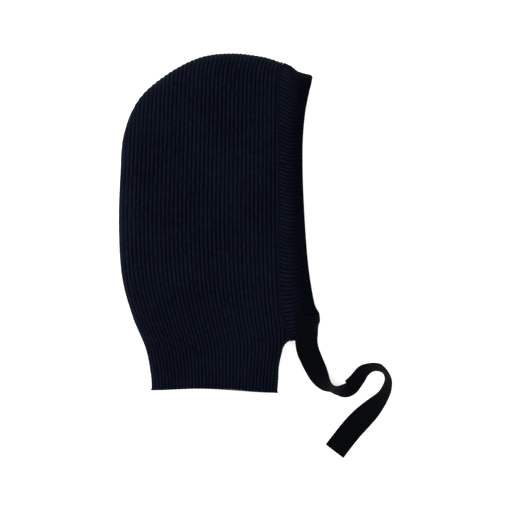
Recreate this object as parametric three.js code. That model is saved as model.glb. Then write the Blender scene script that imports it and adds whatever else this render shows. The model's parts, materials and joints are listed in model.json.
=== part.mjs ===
// A knitted balaclava hood with a ribbon tie at the chin, lying on its left side on a flat
// surface.
//
// Millimetres. +Z is up off the surface, +Y runs from the neck to the crown, and +X runs from
// the back of the head to the face. The hood is two side panels of rib knit, linked together
// round the crown, down the back and down the front of the neck. A folded double band runs
// round the face opening. A ribbon end is sewn on each side of the band at the chin, and the
// right one's free tie lies beside the hood. The right side faces up, and the left side lies
// on the surface.
import * as THREE from "three";

// ---- Driving dimensions -------------------------------------------------------------------
const HOOD_LONG = 372; // crown to neck hem
const HOOD_DEEP = 221; // back of the head to the chin
const PANEL_THICK = 2.8; // one layer of rib knit
const BAND_THICK = 5.2; // the face band, folded double
const SEAM_WIDE = 2.6; // the linking chain between band and panels, along the cloth
const SEAM_HIGH = 2.0; // the linking chain between the two panels, from panel to panel
const EDGE_HEIGHT = 5.5; // the crown and back seam above the surface
const HEAD_HEIGHT = 33; // the upper side above the surface, at the head
const NECK_HEIGHT = 23; // the same at the neck
const FACE_HEIGHT = 25; // the same at the face band
const UPPER_RUN = 40; // how far in from a closed edge the upper side reaches its height
const LOWER_RUN = 7; // how far in from a closed edge the lower side comes down
const TIE_WIDE = 25; // ribbon
const TIE_THICK = 0.6;
const TIE_SEWN = 12; // length of ribbon sewn down on the band
const HEM_LONG = 14; // the ribbon's end is turned under for this length
const THREAD_WIDE = 0.9;
const THREAD_HIGH = 0.3;
const STITCH_INSET = 3; // from the ribbon's edge to the sewing line
const LABEL_WIDE = 22; // care label, along the back seam
const LABEL_LONG = 30;
const LABEL_THICK = 0.8;
const GAP = 0.3; // between pieces that touch
const SEWN_GAP = 0.8; // between the band's curved cloth and what is sewn on it

// ---- Outlines -----------------------------------------------------------------------------
// The flat outline is drawn for a hood of DRAWN_LONG by DRAWN_DEEP and stretched to its size.
const DRAWN_LONG = 372;
const DRAWN_DEEP = 221;
const flat = (x, y) => new THREE.Vector2((x * HOOD_DEEP) / DRAWN_DEEP, (y * HOOD_LONG) / DRAWN_LONG);
const line = (points) => new THREE.SplineCurve(points.map(([x, y]) => flat(x, y)));

// From the hem, up the back of the neck and head and over the crown to the forehead.
const BACK = line([
  [-74.7, -184], [-75.7, -167], [-81.4, -138], [-95.7, -103], [-107.4, -59], [-110.8, -2],
  [-108.9, 56], [-105.2, 97], [-89.2, 135], [-59.2, 162], [-22.9, 181], [12.3, 185.8],
  [46.4, 182.8], [68.4, 177],
]);
// The line where band meets panel, from the forehead to the chin.
const SEAM = line([
  [68.4, 177], [64.4, 163], [63.2, 140], [62.9, 100], [62.8, 50], [62.9, 0], [63.6, -41],
  [65.2, -80], [68.6, -102], [73.2, -118], [78.9, -130],
]);
// The band's free edge, from the forehead to the chin.
const FREE_EDGE = line([
  [101, 161], [97.4, 142], [93.4, 119], [90.8, 88], [90.7, 52], [92, 18], [94, -16],
  [96.6, -46], [100.2, -71], [105, -91], [110.8, -106.5],
]);
// The band's folds, from the seam to the free edge.
const FOREHEAD = line([[68.4, 177], [78.8, 172.5], [85, 167.5], [94, 164.5], [101, 161]]);
const CHIN = line([[78.9, -130], [88, -129.3], [98.5, -124], [107.4, -115.4], [110.8, -106.5]]);
// The front of the neck, from the hem to the chin.
const NECK_FRONT = line([
  [63.3, -187], [64.4, -173], [65.6, -156], [69.6, -139], [73.6, -132.5], [78.9, -130],
]);
// The neck hem, from back to front.
const HEM = line([[-74.7, -184], [-16, -181.6], [63.3, -187]]);

// ---- The two layers of the hood ------------------------------------------------------------
const clamp01 = (v) => Math.min(1, Math.max(0, v));
const mix = (a, b, share) => a + (b - a) * share;
const ease = (from, to, v) => {
  const s = clamp01((v - from) / (to - from));
  return s * s * (3 - 2 * s);
};

// Where the right and left layers are joined, so that both curve in to the edge height.
const EDGE_POINTS = 90; // straight pieces that stand for each of these curves
const CLOSED = [BACK, FOREHEAD, CHIN, NECK_FRONT].flatMap((curve) => {
  const points = curve.getPoints(EDGE_POINTS);
  return points.slice(1).map((end, i) => [points[i], end]);
});

function fromClosedEdge(p) {
  let best = Infinity;
  for (const [a, b] of CLOSED) {
    const along = b.clone().sub(a);
    const share = clamp01(p.clone().sub(a).dot(along) / along.lengthSq());
    best = Math.min(best, p.distanceTo(a.clone().addScaledVector(along, share)));
  }
  return best;
}

// Height of the upper side over the middle of the hood, before it curves in to an edge. It rises
// from the neck to the head, and falls from the middle of the hood to the face.
const NECK_TOP = -0.42 * HOOD_LONG;
const HEAD_BOTTOM = -0.05 * HOOD_LONG;
const FACE_BACK = 0.42 * HOOD_DEEP;
function crownHeight(p) {
  const head = mix(NECK_HEIGHT, HEAD_HEIGHT, ease(NECK_TOP, HEAD_BOTTOM, p.y));
  return mix(head, FACE_HEIGHT, ease(0, FACE_BACK, p.x));
}

// The outside of the right side: a round arch from the closed edge up to the crown height.
function upperZ(p) {
  const share = clamp01(fromClosedEdge(p) / UPPER_RUN);
  const rise = Math.sqrt(1 - (1 - share) ** 2);
  return EDGE_HEIGHT + (crownHeight(p) - EDGE_HEIGHT) * rise;
}

// Where a tie is sewn on: its width across the band, its top, and the middle of its lower edge.
const ACROSS_SLOPE = 0.94; // the ribbon's width seen from above, where the cloth slopes away
const TIE_CENTRE = flat(95.7, -100.6);
const TIE_X = [-0.5, 0.5].map((share) => TIE_CENTRE.x + share * ACROSS_SLOPE * TIE_WIDE);
const TIE_ROOT = new THREE.Vector2(TIE_CENTRE.x, TIE_CENTRE.y - TIE_SEWN);
const SEWN_HEIGHT = SEWN_GAP + TIE_THICK + GAP + THREAD_HIGH; // a sewn end with its sewing
const TENT_REACH = 10; // the left side is raised this far round its sewn end
const TENT_FADE = 24;

// The outside of the left side: flat on the surface, raised where a ribbon end is sewn on.
function lowerZ(p) {
  const outX = Math.abs(p.x - TIE_ROOT.x) - TIE_WIDE / 2;
  const outY = Math.abs(p.y - TIE_ROOT.y - TIE_SEWN / 2) - TIE_SEWN / 2;
  const away = Math.hypot(Math.max(0, outX), Math.max(0, outY));
  const raised = SEWN_HEIGHT * (1 - ease(TENT_REACH, TENT_REACH + TENT_FADE, away));
  const share = clamp01(fromClosedEdge(p) / LOWER_RUN);
  return mix(EDGE_HEIGHT, raised, Math.sqrt(1 - (1 - share) ** 2));
}

// ---- Closed sheets -------------------------------------------------------------------------
// A closed mesh from triangles, turned so that its faces point out.
function closedMesh(points, triangles) {
  let volume = 0;
  for (const [a, b, c] of triangles) {
    volume += points[a].dot(points[b].clone().cross(points[c]));
  }
  const faces = volume < 0 ? triangles.map(([a, b, c]) => [a, c, b]) : triangles;
  const geometry = new THREE.BufferGeometry();
  const places = new THREE.Float32BufferAttribute(points.flatMap((p) => p.toArray()), 3);
  geometry.setAttribute("position", places);
  geometry.setIndex(faces.flat());
  return geometry;
}

// A sheet between two grids of the same size, grid[row][column]. In a ring, the last row joins
// the first.
function sheet(outside, inside, ring = false) {
  const rows = outside.length;
  const columns = outside[0].length;
  const points = [...outside.flat(), ...inside.flat()];
  const triangles = [];
  const at = (layer, row, column) => layer * rows * columns + (row % rows) * columns + column;
  const quad = (a, b, c, d) => triangles.push([a, b, c], [a, c, d]);
  const lastRow = ring ? rows : rows - 1;
  for (let i = 0; i < lastRow; i++) {
    for (let j = 0; j < columns - 1; j++) {
      quad(at(0, i, j), at(0, i + 1, j), at(0, i + 1, j + 1), at(0, i, j + 1));
      quad(at(1, i, j), at(1, i, j + 1), at(1, i + 1, j + 1), at(1, i + 1, j));
    }
    quad(at(0, i, 0), at(1, i, 0), at(1, i + 1, 0), at(0, i + 1, 0));
    const end = columns - 1;
    quad(at(0, i, end), at(0, i + 1, end), at(1, i + 1, end), at(1, i, end));
  }
  if (!ring) {
    for (let j = 0; j < columns - 1; j++) {
      quad(at(0, 0, j), at(0, 0, j + 1), at(1, 0, j + 1), at(1, 0, j));
      quad(at(0, rows - 1, j), at(1, rows - 1, j), at(1, rows - 1, j + 1), at(0, rows - 1, j + 1));
    }
  }
  return closedMesh(points, triangles);
}

// Shares from 0 to 1 in equal steps, and the same drawn closer together towards both ends.
const even = (steps) => Array.from({ length: steps + 1 }, (_, i) => i / steps);
const spread = (steps) => even(steps).map((share) => (1 - Math.cos(Math.PI * share)) / 2);

// A curve moved sideways in its own plane, to the left of its direction.
function beside(curve, share, distance) {
  const way = curve.getTangent(share);
  return curve.getPoint(share).addScaledVector(new THREE.Vector2(-way.y, way.x), distance);
}

// ---- Side panels ---------------------------------------------------------------------------
const SEAM_CLEAR = SEAM_WIDE / 2 + GAP; // from the middle of the band's seam to the cloth beside it
const RIM = SEAM_HIGH / 2 + GAP; // from the middle of the closed edge to a panel's rim

// Rows of a panel from the hem to the forehead, each from the back outline to the front one,
// with the closed edges moved in by inset. The zones end where the neck meets the chin and
// where the back turns into the crown.
const EDGE_THICK = 1.2; // a panel next to its rim
const PANEL_COLUMNS = 17;
const NECK_STEPS = 7;
const FACE_STEPS = 15;
const CROWN_STEPS = 14;
const BACK_AT_CHIN = 0.2; // shares of the back outline
const BACK_AT_CROWN = 0.54;
const BACK_END = 0.985;
const SEAM_AT_CROWN = 0.74; // shares of the band's seam, up from the chin
const SEAM_END = 0.985;
const NECK_END = 0.88; // share of the neck's front that its seam runs

function panelRows(inset) {
  const backAt = (share) => beside(BACK, share, -inset);
  const seamAt = (share) => beside(SEAM, 1 - share, -SEAM_CLEAR);
  const chinCorner = seamAt(0).sub(beside(NECK_FRONT, 1, inset));
  const neckRows = even(NECK_STEPS).map((s) => [
    backAt(BACK_AT_CHIN * s),
    beside(NECK_FRONT, s, inset).addScaledVector(chinCorner, s),
  ]);
  const faceRows = even(FACE_STEPS).slice(1).map((s) => [
    backAt(mix(BACK_AT_CHIN, BACK_AT_CROWN, s)),
    seamAt(SEAM_AT_CROWN * s),
  ]);
  const crownRows = even(CROWN_STEPS).slice(1).map((s) => [
    backAt(mix(BACK_AT_CROWN, BACK_END, s)),
    seamAt(mix(SEAM_AT_CROWN, SEAM_END, s)),
  ]);
  return [...neckRows, ...faceRows, ...crownRows];
}

// One side of the hood: its outside at heightAt, its inside a panel's thickness further in.
// side is 1 for the right side, which is above the closed edge, and -1 for the left.
function sidePanel(heightAt, side) {
  const columns = spread(PANEL_COLUMNS);
  const last = columns.length - 1;
  const rim = EDGE_HEIGHT + side * RIM;
  const layer = (inset, thick) =>
    panelRows(inset).map(([back, front], i) =>
      columns.map((share, j) => {
        const p = back.clone().lerp(front, share);
        if (i === 0) p.y = mix(p.y, HEM.getPoint(share).y, 4 * share * (1 - share));
        const onClosedEdge = j === 0 || (j === last && i < NECK_STEPS);
        const out = onClosedEdge ? 0 : Math.max(EDGE_THICK, side * (heightAt(p) - rim));
        return new THREE.Vector3(p.x, p.y, rim + side * Math.max(0, out - thick));
      }),
    );
  return sheet(layer(0, 0), layer(PANEL_THICK, PANEL_THICK));
}

// ---- Face band and its seam ----------------------------------------------------------------
// A point of the flat band: across from the seam to the free edge, along from forehead to chin.
function bandPoint(across, along) {
  const sides = beside(SEAM, along, SEAM_CLEAR).lerp(FREE_EDGE.getPoint(along), across);
  const ends = FOREHEAD.getPoint(across).lerp(CHIN.getPoint(across), along);
  const [top, bottom] = [FOREHEAD, CHIN].map((fold) => fold.getPoint(0).lerp(fold.getPoint(1), across));
  return sides.add(ends).sub(top.lerp(bottom, along));
}

// A ring round the face opening: along the right side from forehead to chin, back on the left.
const FACE_STEPS_ROUND = 36;
const BAND_COLUMNS = 8;
function faceRing(pointAt, columns, thick) {
  const there = spread(FACE_STEPS_ROUND);
  const back = there.slice(1, -1).reverse();
  const inset = thick / SEAM.getLength();
  const layer = (move, deep) => {
    const row = (heightAt, side) => (along) =>
      columns.map((across) => {
        const p = pointAt(across, mix(move, 1 - move, along));
        const onFold = along === 0 || along === 1;
        return new THREE.Vector3(p.x, p.y, onFold ? EDGE_HEIGHT : heightAt(p) - side * deep);
      });
    return [...there.map(row(upperZ, 1)), ...back.map(row(lowerZ, -1))];
  };
  return sheet(layer(0, 0), layer(inset, thick), true);
}

const faceBand = () => faceRing(bandPoint, even(BAND_COLUMNS), BAND_THICK);
const faceBandSeam = () =>
  faceRing((across, along) => beside(SEAM, along, (across - 0.5) * SEAM_WIDE), [0, 1], PANEL_THICK);

// ---- Panel seams ---------------------------------------------------------------------------
const BACK_SEAM_STEPS = 60;
const NECK_SEAM_STEPS = 10;

// The linking chain between the two panels' rims, along a stretch of a closed edge.
function panelSeam(curve, to, steps, inward) {
  const flatGrid = even(steps).map((s) => [
    beside(curve, to * s, 0),
    beside(curve, to * s, inward * (PANEL_THICK - GAP)),
  ]);
  const layer = (z) => flatGrid.map((row) => row.map((p) => new THREE.Vector3(p.x, p.y, z)));
  return sheet(layer(EDGE_HEIGHT + SEAM_HIGH / 2), layer(EDGE_HEIGHT - SEAM_HIGH / 2));
}

// ---- Ribbon ties ---------------------------------------------------------------------------
// A grid on the outside of the band where a tie is sewn, lifted off the cloth; side is 1 on
// the right side of the hood, which faces up, and -1 on the left.
const SEWN_STEP = 1.5; // its grid is fine enough to follow the round cloth under it
const SEWN_COLUMNS = Math.ceil(TIE_WIDE / SEWN_STEP);
const SEWN_ROWS = Math.ceil(TIE_SEWN / SEWN_STEP);
function sewnGrid(heightAt, side, inset, lift) {
  const xs = even(SEWN_COLUMNS).map((s) => mix(TIE_X[0] + inset, TIE_X[1] - inset, s));
  const ys = even(SEWN_ROWS).map((s) => mix(TIE_CENTRE.y - inset, TIE_ROOT.y + inset, s));
  const height = (x, y) => heightAt(new THREE.Vector2(x, y)) + side * lift;
  return ys.map((y) => xs.map((x) => new THREE.Vector3(x, y, height(x, y))));
}

const sewnEnd = (heightAt, side) =>
  sheet(sewnGrid(heightAt, side, 0, SEWN_GAP), sewnGrid(heightAt, side, 0, SEWN_GAP + TIE_THICK));

// The row of sewing: a frame of thread on the sewn end, from the four sides of its grid.
function sewing(heightAt, side) {
  const frame = (inset, height) => {
    const grid = sewnGrid(heightAt, side, inset, height);
    const between = grid.slice(1, -1);
    const right = between.map((row) => row.at(-1));
    const left = between.map((row) => row[0]).reverse();
    return [...grid[0], ...right, ...[...grid.at(-1)].reverse(), ...left];
  };
  const ring = (height) => {
    const inner = frame(STITCH_INSET + THREAD_WIDE, height);
    return frame(STITCH_INSET, height).map((p, i) => [p, inner[i]]);
  };
  const lift = SEWN_GAP + TIE_THICK + GAP;
  return sheet(ring(lift), ring(lift + THREAD_HIGH), true);
}

// A ribbon along stations [x, y, lift, roll]: x and y from where it leaves the sewing, lift as
// a share of the root's height, and roll in degrees about its own length. Where lift is 0 it
// stands on its lower edge.
function ribbonFrames(stations, root, steps) {
  const curve = (pick) =>
    new THREE.CatmullRomCurve3(stations.map((row) => new THREE.Vector3(...pick(row))), false, "catmullrom");
  const place = curve(([x, y]) => [root.x + x, root.y + y, 0]);
  const hold = curve(([, , lift, roll]) => [lift, THREE.MathUtils.degToRad(roll), 0]);
  const centres = even(steps).map((s) => {
    const { x: lift, y: roll } = hold.getPoint(s);
    const standing = (TIE_WIDE / 2) * Math.abs(Math.sin(roll)) + (TIE_THICK / 2) * Math.abs(Math.cos(roll));
    const p = place.getPoint(s);
    p.z = mix(standing, root.z, clamp01(lift));
    return { p, roll };
  });
  return centres.map(({ p, roll }, i) => {
    const way = centres[Math.min(steps, i + 1)].p.clone().sub(centres[Math.max(0, i - 1)].p).normalize();
    const level = new THREE.Vector3(-way.y, way.x, 0).normalize();
    const up = way.clone().cross(level);
    const wide = level.clone().multiplyScalar(Math.cos(roll)).addScaledVector(up, Math.sin(roll));
    return { p, way, wide, face: way.clone().cross(wide) };
  });
}

// A flat strip through frames, with its faces at two heights off the middle of the ribbon.
function strip(frames, wide, [low, high]) {
  const layer = (height) =>
    frames.map((frame) =>
      [-0.5, 0, 0.5].map((share) =>
        frame.p.clone().addScaledVector(frame.wide, share * wide).addScaledVector(frame.face, height),
      ),
    );
  return sheet(layer(low), layer(high));
}

const ribbon = (frames) => strip(frames, TIE_WIDE, [-TIE_THICK / 2, TIE_THICK / 2]);

// The thread that holds the tie's hem: a bar across the ribbon, on the face that side names.
function hemThread(frames, side) {
  const end = frames.at(-1).p;
  const at = frames.findLastIndex((frame) => frame.p.distanceTo(end) >= HEM_LONG);
  const bar = [-0.5, 0.5].map((share) => {
    const frame = frames[at];
    return { ...frame, p: frame.p.clone().addScaledVector(frame.way, share * THREAD_WIDE) };
  });
  const lift = side * (TIE_THICK / 2 + GAP);
  return strip(bar, TIE_WIDE - STITCH_INSET, [lift, lift + side * THREAD_HIGH]);
}

// The right tie drops from the chin, leans up on its edge, loops round and ends flat. It starts
// 1 mm below the sewn end, and swings about that line.
const TIE_STEPS = 72;
const RIGHT_STATIONS = [
  [0, -1, 1, -20], [-0.2, -8, 0.93, -16], [-0.7, -18, 0.72, -6], [1, -27.7, 0.42, 3],
  [4.5, -36.5, 0.18, 12], [8.5, -45.2, 0.05, 18], [13, -54, 0, 27], [19, -62.4, 0, 45],
  [26.8, -68.9, 0, 66], [36, -70.6, 0, 56], [45.6, -68.9, 0, 37], [54, -60.2, 0, 42],
  [61.2, -50.4, 0, 49], [69.2, -46.2, 0, 60], [78.2, -45.8, 0, 67], [85.6, -51.2, 0, 77],
  [88.7, -59.6, 0, 76], [86.8, -69.6, 0, 69], [81.2, -79.7, 0, 60], [72.3, -90.1, 0, 40],
  [61.3, -101.3, 0, 20], [51, -112.6, 0, 6], [41.8, -124, 0, 1], [30.8, -138.3, 0, 0],
];
const rightRootZ = upperZ(TIE_ROOT) + SEWN_GAP + TIE_THICK / 2;
const rightRoot = new THREE.Vector3(TIE_ROOT.x, TIE_ROOT.y, rightRootZ);
const rightFrames = ribbonFrames(RIGHT_STATIONS, rightRoot, TIE_STEPS);

// ---- Care label ----------------------------------------------------------------------------
// A blank folded tab sewn into the back seam inside the neck, which drops from the seam and
// lies on the inside of the left side.
const LABEL_FOOT = 0.1; // share of the back outline at the label's middle
const LABEL_DROP = 12; // it has come down this far from the seam
const LABEL_ROWS = 4;
const LABEL_COLUMNS = 6;
function careLabel() {
  const step = LABEL_WIDE / BACK.getLength();
  const lying = PANEL_THICK + GAP + LABEL_THICK / 2;
  const layer = (lift) =>
    even(LABEL_ROWS).map((s) =>
      even(LABEL_COLUMNS).map((out) => {
        const p = beside(BACK, LABEL_FOOT + (s - 0.5) * step, -PANEL_THICK - out * LABEL_LONG);
        const z = mix(EDGE_HEIGHT, lying, ease(0, LABEL_DROP, out * LABEL_LONG));
        return new THREE.Vector3(p.x, p.y, z + lift);
      }),
    );
  return sheet(layer(LABEL_THICK / 2), layer(-LABEL_THICK / 2));
}

// ---- Assembly ------------------------------------------------------------------------------
const cloth = (color, roughness) => new THREE.MeshStandardMaterial({ color, roughness, metalness: 0 });
const NAVY_KNIT = cloth(0x14182a, 0.95);
const NAVY_BAND = cloth(0x0f1322, 0.95);
const NAVY_YARN = cloth(0x1a1f33, 0.9);
const BLACK_RIBBON = cloth(0x08090d, 0.7);
const BLACK_THREAD = cloth(0x0b0c10, 0.6);
const LABEL_SATIN = cloth(0xd9d7d0, 0.45);

const hood = new THREE.Group();
function add(name, geometry, material) {
  const mesh = new THREE.Mesh(geometry, material);
  mesh.name = name;
  hood.add(mesh);
  return mesh;
}

const body = [
  add("right_side_panel", sidePanel(upperZ, 1), NAVY_KNIT),
  add("left_side_panel", sidePanel(lowerZ, -1), NAVY_KNIT),
  add("crown_and_back_seam", panelSeam(BACK, BACK_END, BACK_SEAM_STEPS, -1), NAVY_YARN),
  add("neck_front_seam", panelSeam(NECK_FRONT, NECK_END, NECK_SEAM_STEPS, 1), NAVY_YARN),
  add("face_band", faceBand(), NAVY_BAND),
  add("face_band_seam", faceBandSeam(), NAVY_YARN),
];
add("right_tie_sewn_end", sewnEnd(upperZ, 1), BLACK_RIBBON);
add("right_tie_sewing", sewing(upperZ, 1), BLACK_THREAD);
add("right_tie", ribbon(rightFrames), BLACK_RIBBON);
add("right_tie_hem_thread", hemThread(rightFrames, 1), BLACK_THREAD);
add("left_tie_sewn_end", sewnEnd(lowerZ, -1), BLACK_RIBBON);
add("left_tie_sewing", sewing(lowerZ, -1), BLACK_THREAD);
add("care_label", careLabel(), LABEL_SATIN);

// The origin is at the middle of the hood's footprint, without the free ties, on the surface.
const box = new THREE.Box3();
for (const mesh of body) box.expandByObject(mesh);
hood.position.set(-(box.min.x + box.max.x) / 2, -(box.min.y + box.max.y) / 2, 0);

export default hood;
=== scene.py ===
# %% [markdown]
# # A rib-knit balaclava with a ribbon tie
#
# The hood lies flat on its left side. It is two side panels of chunky 1x1 rib knit, linked
# together round the crown, down the back and down the front of the neck. A strip of the same rib,
# folded double, makes the band round the face, and a grosgrain ribbon is sewn on it at the chin.
#
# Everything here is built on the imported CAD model, in metres and in its frame. Each soft piece
# takes the place of one plain CAD solid.

# %% The frame
import json
import math

import bpy
import numpy as np
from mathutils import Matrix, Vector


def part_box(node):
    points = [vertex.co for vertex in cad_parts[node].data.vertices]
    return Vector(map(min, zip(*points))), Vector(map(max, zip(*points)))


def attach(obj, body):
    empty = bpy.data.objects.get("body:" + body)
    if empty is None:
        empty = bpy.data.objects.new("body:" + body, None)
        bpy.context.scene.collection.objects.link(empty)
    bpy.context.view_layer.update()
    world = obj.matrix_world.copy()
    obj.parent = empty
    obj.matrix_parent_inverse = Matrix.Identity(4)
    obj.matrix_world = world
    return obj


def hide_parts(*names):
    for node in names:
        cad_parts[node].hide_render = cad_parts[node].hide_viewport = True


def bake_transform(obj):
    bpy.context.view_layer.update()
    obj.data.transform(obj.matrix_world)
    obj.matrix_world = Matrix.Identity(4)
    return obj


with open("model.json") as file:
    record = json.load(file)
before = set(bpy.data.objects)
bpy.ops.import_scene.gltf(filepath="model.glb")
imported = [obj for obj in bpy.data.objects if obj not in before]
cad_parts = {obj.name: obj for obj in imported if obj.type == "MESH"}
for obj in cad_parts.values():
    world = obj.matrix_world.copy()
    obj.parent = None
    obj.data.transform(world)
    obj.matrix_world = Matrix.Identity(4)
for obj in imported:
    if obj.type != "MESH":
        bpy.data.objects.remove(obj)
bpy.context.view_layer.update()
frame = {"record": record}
MM = 0.001

# %% [markdown]
# ## The camera
#
# The hood is seen from straight above, through a long lens so that its sides don't spread. The
# camera is placed over a point a little to the right of the hood and below its middle, because
# the tie lies on that side.

# %% Camera
VIEW_WIDE = 0.5632  # of the surface, across the frame
LENS_MM = 110.0
SENSOR_MM = 36.0
BESIDE_HOOD = np.array([0.0398, -0.0361])  # the middle of the frame, from the middle of the hood

camera_data = bpy.data.cameras.new("camera")
camera_data.lens = LENS_MM
camera_data.sensor_width = SENSOR_MM
camera = bpy.data.objects.new("camera", camera_data)
bpy.context.scene.collection.objects.link(camera)
camera_high = VIEW_WIDE * LENS_MM / SENSOR_MM
camera.location = (*BESIDE_HOOD, camera_high)
bpy.context.scene.camera = camera
print(f"camera {camera_high:.2f} m up")

# %% [markdown]
# ## Where the ribbon lies
#
# A ribbon can't bend in its own plane, so it turns by leaning up on its edge. Each station says
# where the middle of the ribbon is, how much of the chin's height it still has, and how far it has
# rolled about its own length. It leans most at the two bends and lies flat at its end.

# %% Ribbon stations
TIE_WIDE = 25 * MM
TIE_THICK = 0.6 * MM
TIE_STATIONS = np.array([  # x and y from the root in mm, share of the root's height, roll
    [0, -1, 1, -20], [-0.2, -8, 0.93, -16], [-0.7, -18, 0.72, -6], [1, -27.7, 0.42, 3],
    [4.5, -36.5, 0.18, 12], [8.5, -45.2, 0.05, 18], [13, -54, 0, 27], [19, -62.4, 0, 45],
    [26.8, -68.9, 0, 66], [36, -70.6, 0, 56], [45.6, -68.9, 0, 37], [54, -60.2, 0, 42],
    [61.2, -50.4, 0, 49], [69.2, -46.2, 0, 60], [78.2, -45.8, 0, 67], [85.6, -51.2, 0, 77],
    [88.7, -59.6, 0, 76], [86.8, -69.6, 0, 69], [81.2, -79.7, 0, 60], [72.3, -90.1, 0, 40],
    [61.3, -101.3, 0, 20], [51, -112.6, 0, 6], [41.8, -124, 0, 1], [30.8, -138.3, 0, 0],
])
print("leans up to", TIE_STATIONS[:, 3].max(), "degrees")

# %% Lines through points
def smooth_line(points, per_span=24):
    """A curve through the points. On each span it is the cubic whose slope at each end is half
    the step between that point's two neighbours."""
    points = np.asarray(points, float)
    padded = np.vstack([2 * points[0] - points[1], points, 2 * points[-1] - points[-2]])
    before, start, end, after = (padded[k:len(padded) - 3 + k] for k in range(4))
    t = (np.arange(per_span) / per_span)[None, :, None]
    before, start, end, after = (p[:, None, :] for p in (before, start, end, after))
    slope_in, slope_out = (end - before) / 2, (after - start) / 2
    cubic = (start + slope_in * t + (3 * (end - start) - 2 * slope_in - slope_out) * t**2
             + (2 * (start - end) + slope_in + slope_out) * t**3)
    return np.vstack([cubic.reshape(-1, points.shape[1]), points[-1]])


def unit(vectors):
    """Each vector divided by its own length."""
    return vectors / np.linalg.norm(vectors, axis=-1, keepdims=True)


def evenly(line, count):
    """The line's rows, interpolated at equal steps along the length of its first three columns."""
    step = np.linalg.norm(np.diff(line[:, :3], axis=0), axis=1)
    along = np.concatenate([[0], np.cumsum(step)])
    wanted = np.linspace(0, along[-1], count)
    return np.stack([np.interp(wanted, along, column) for column in line.T], axis=1)

# %% Ribbon frames
hinge = np.array(frame["record"]["behaviour"]["joints"][0]["pos_m"])
root = hinge - [0, TIE_STATIONS[0, 1] * MM, 0]


def tie_frames(count):
    """Middle points, and the ribbon's lengthwise, widthwise and face directions there. The middle
    is half the ribbon's leaning height above the surface, blended up to the root's height."""
    stations = smooth_line(TIE_STATIONS)
    roll = np.radians(stations[:, 3])
    standing = TIE_WIDE / 2 * abs(np.sin(roll)) + TIE_THICK / 2 * abs(np.cos(roll))
    share = np.clip(stations[:, 2], 0, 1)
    z = standing + (root[2] - standing) * share
    line = np.column_stack([root[0] + stations[:, 0] * MM, root[1] + stations[:, 1] * MM, z, roll])
    line = evenly(line, count)
    middle, roll = line[:, :3], line[:, 3:]
    way = unit(np.gradient(middle, axis=0))
    level = unit(np.column_stack([-way[:, 1], way[:, 0], np.zeros(count)]))
    up = np.cross(way, level)
    wide = level * np.cos(roll) + up * np.sin(roll)
    return middle, way, wide, np.cross(way, wide)


tie_middle, _, _, _ = tie_frames(60)
tie_length = np.linalg.norm(np.diff(tie_middle, axis=0), axis=1).sum()
print(f"free tie: {tie_length / MM:.0f} mm")

# %% [markdown]
# ## The outline of the hood
#
# A garment like this is drafted as flat outlines. There is one curve from the hem up the back and
# over the crown, one for the line where the band meets the panels, one for the band's free edge,
# and short ones for the folds of the band and the front of the neck. They are drawn in
# millimetres and then laid on the box that the CAD hood fills.

# %% Outlines
HOOD_NODES = ("right_side_panel", "face_band", "crown_and_back_seam")
BACK = [
    [-74.7, -184], [-75.7, -167], [-81.4, -138], [-95.7, -103], [-107.4, -59], [-110.8, -2],
    [-108.9, 56], [-105.2, 97], [-89.2, 135], [-59.2, 162], [-22.9, 181], [12.3, 185.8],
    [46.4, 182.2], [68.4, 175.6],
]
SEAM = [
    [68.4, 175.6], [64.4, 163], [63.2, 140], [62.9, 100], [62.8, 50], [62.9, 0], [63.6, -41],
    [65.2, -80], [68.6, -102], [73.2, -118], [78.9, -129.4],
]
FREE_EDGE = [
    [102.6, 159], [100.9, 153], [98, 142], [93.4, 119], [90.8, 88], [90.7, 52], [92, 18], [94, -16],
    [96.6, -46], [100.2, -71], [104.4, -90], [109.6, -99.5], [110.8, -105.5],
]
FOREHEAD = [[68.4, 175.6], [78.4, 171], [84.4, 166.2], [92, 163.6], [99.4, 162], [102.6, 159]]
CHIN = [[78.9, -129.4], [88, -128.6], [98.5, -122.6], [107.8, -113.2], [110.8, -105.5]]
NECK_FRONT = [[63.3, -187], [64.4, -173], [65.6, -156], [69.6, -139], [73.6, -132.2], [78.9, -129.4]]
HEM = [[-74.7, -184], [-16, -181.6], [63.3, -187]]

boxes = np.array([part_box(node) for node in HOOD_NODES])[:, :, :2]
hood_low, hood_high = boxes[:, 0].min(axis=0), boxes[:, 1].max(axis=0)
drawn = np.vstack([smooth_line(line) for line in (BACK, FREE_EDGE, CHIN, FOREHEAD)])
drawn_low, drawn_high = drawn.min(axis=0), drawn.max(axis=0)
NECK_CORNER = NECK_FRONT[0][1]  # the lowest point of the hood


def laid(points):
    """The smooth line through the drawn points, in metres, on the CAD hood's box."""
    line = smooth_line(points)
    low = np.array([drawn_low[0], NECK_CORNER])
    return hood_low + (line - low) / (drawn_high - low) * (hood_high - hood_low)


back, seam, free_edge, forehead, chin, neck_front, hem = (
    laid(points) for points in (BACK, SEAM, FREE_EDGE, FOREHEAD, CHIN, NECK_FRONT, HEM))
print("hood, mm:", np.round((hood_high - hood_low) / MM, 1))

# %% [markdown]
# ## Two layers of cloth
#
# Lying down, the hood is two layers that meet round every closed edge. The upper one arches over
# the air inside, and the lower one is flat on the surface. Both heights are functions of the
# distance to the nearest closed edge, so they meet there with a round fold and no crease.

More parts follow.
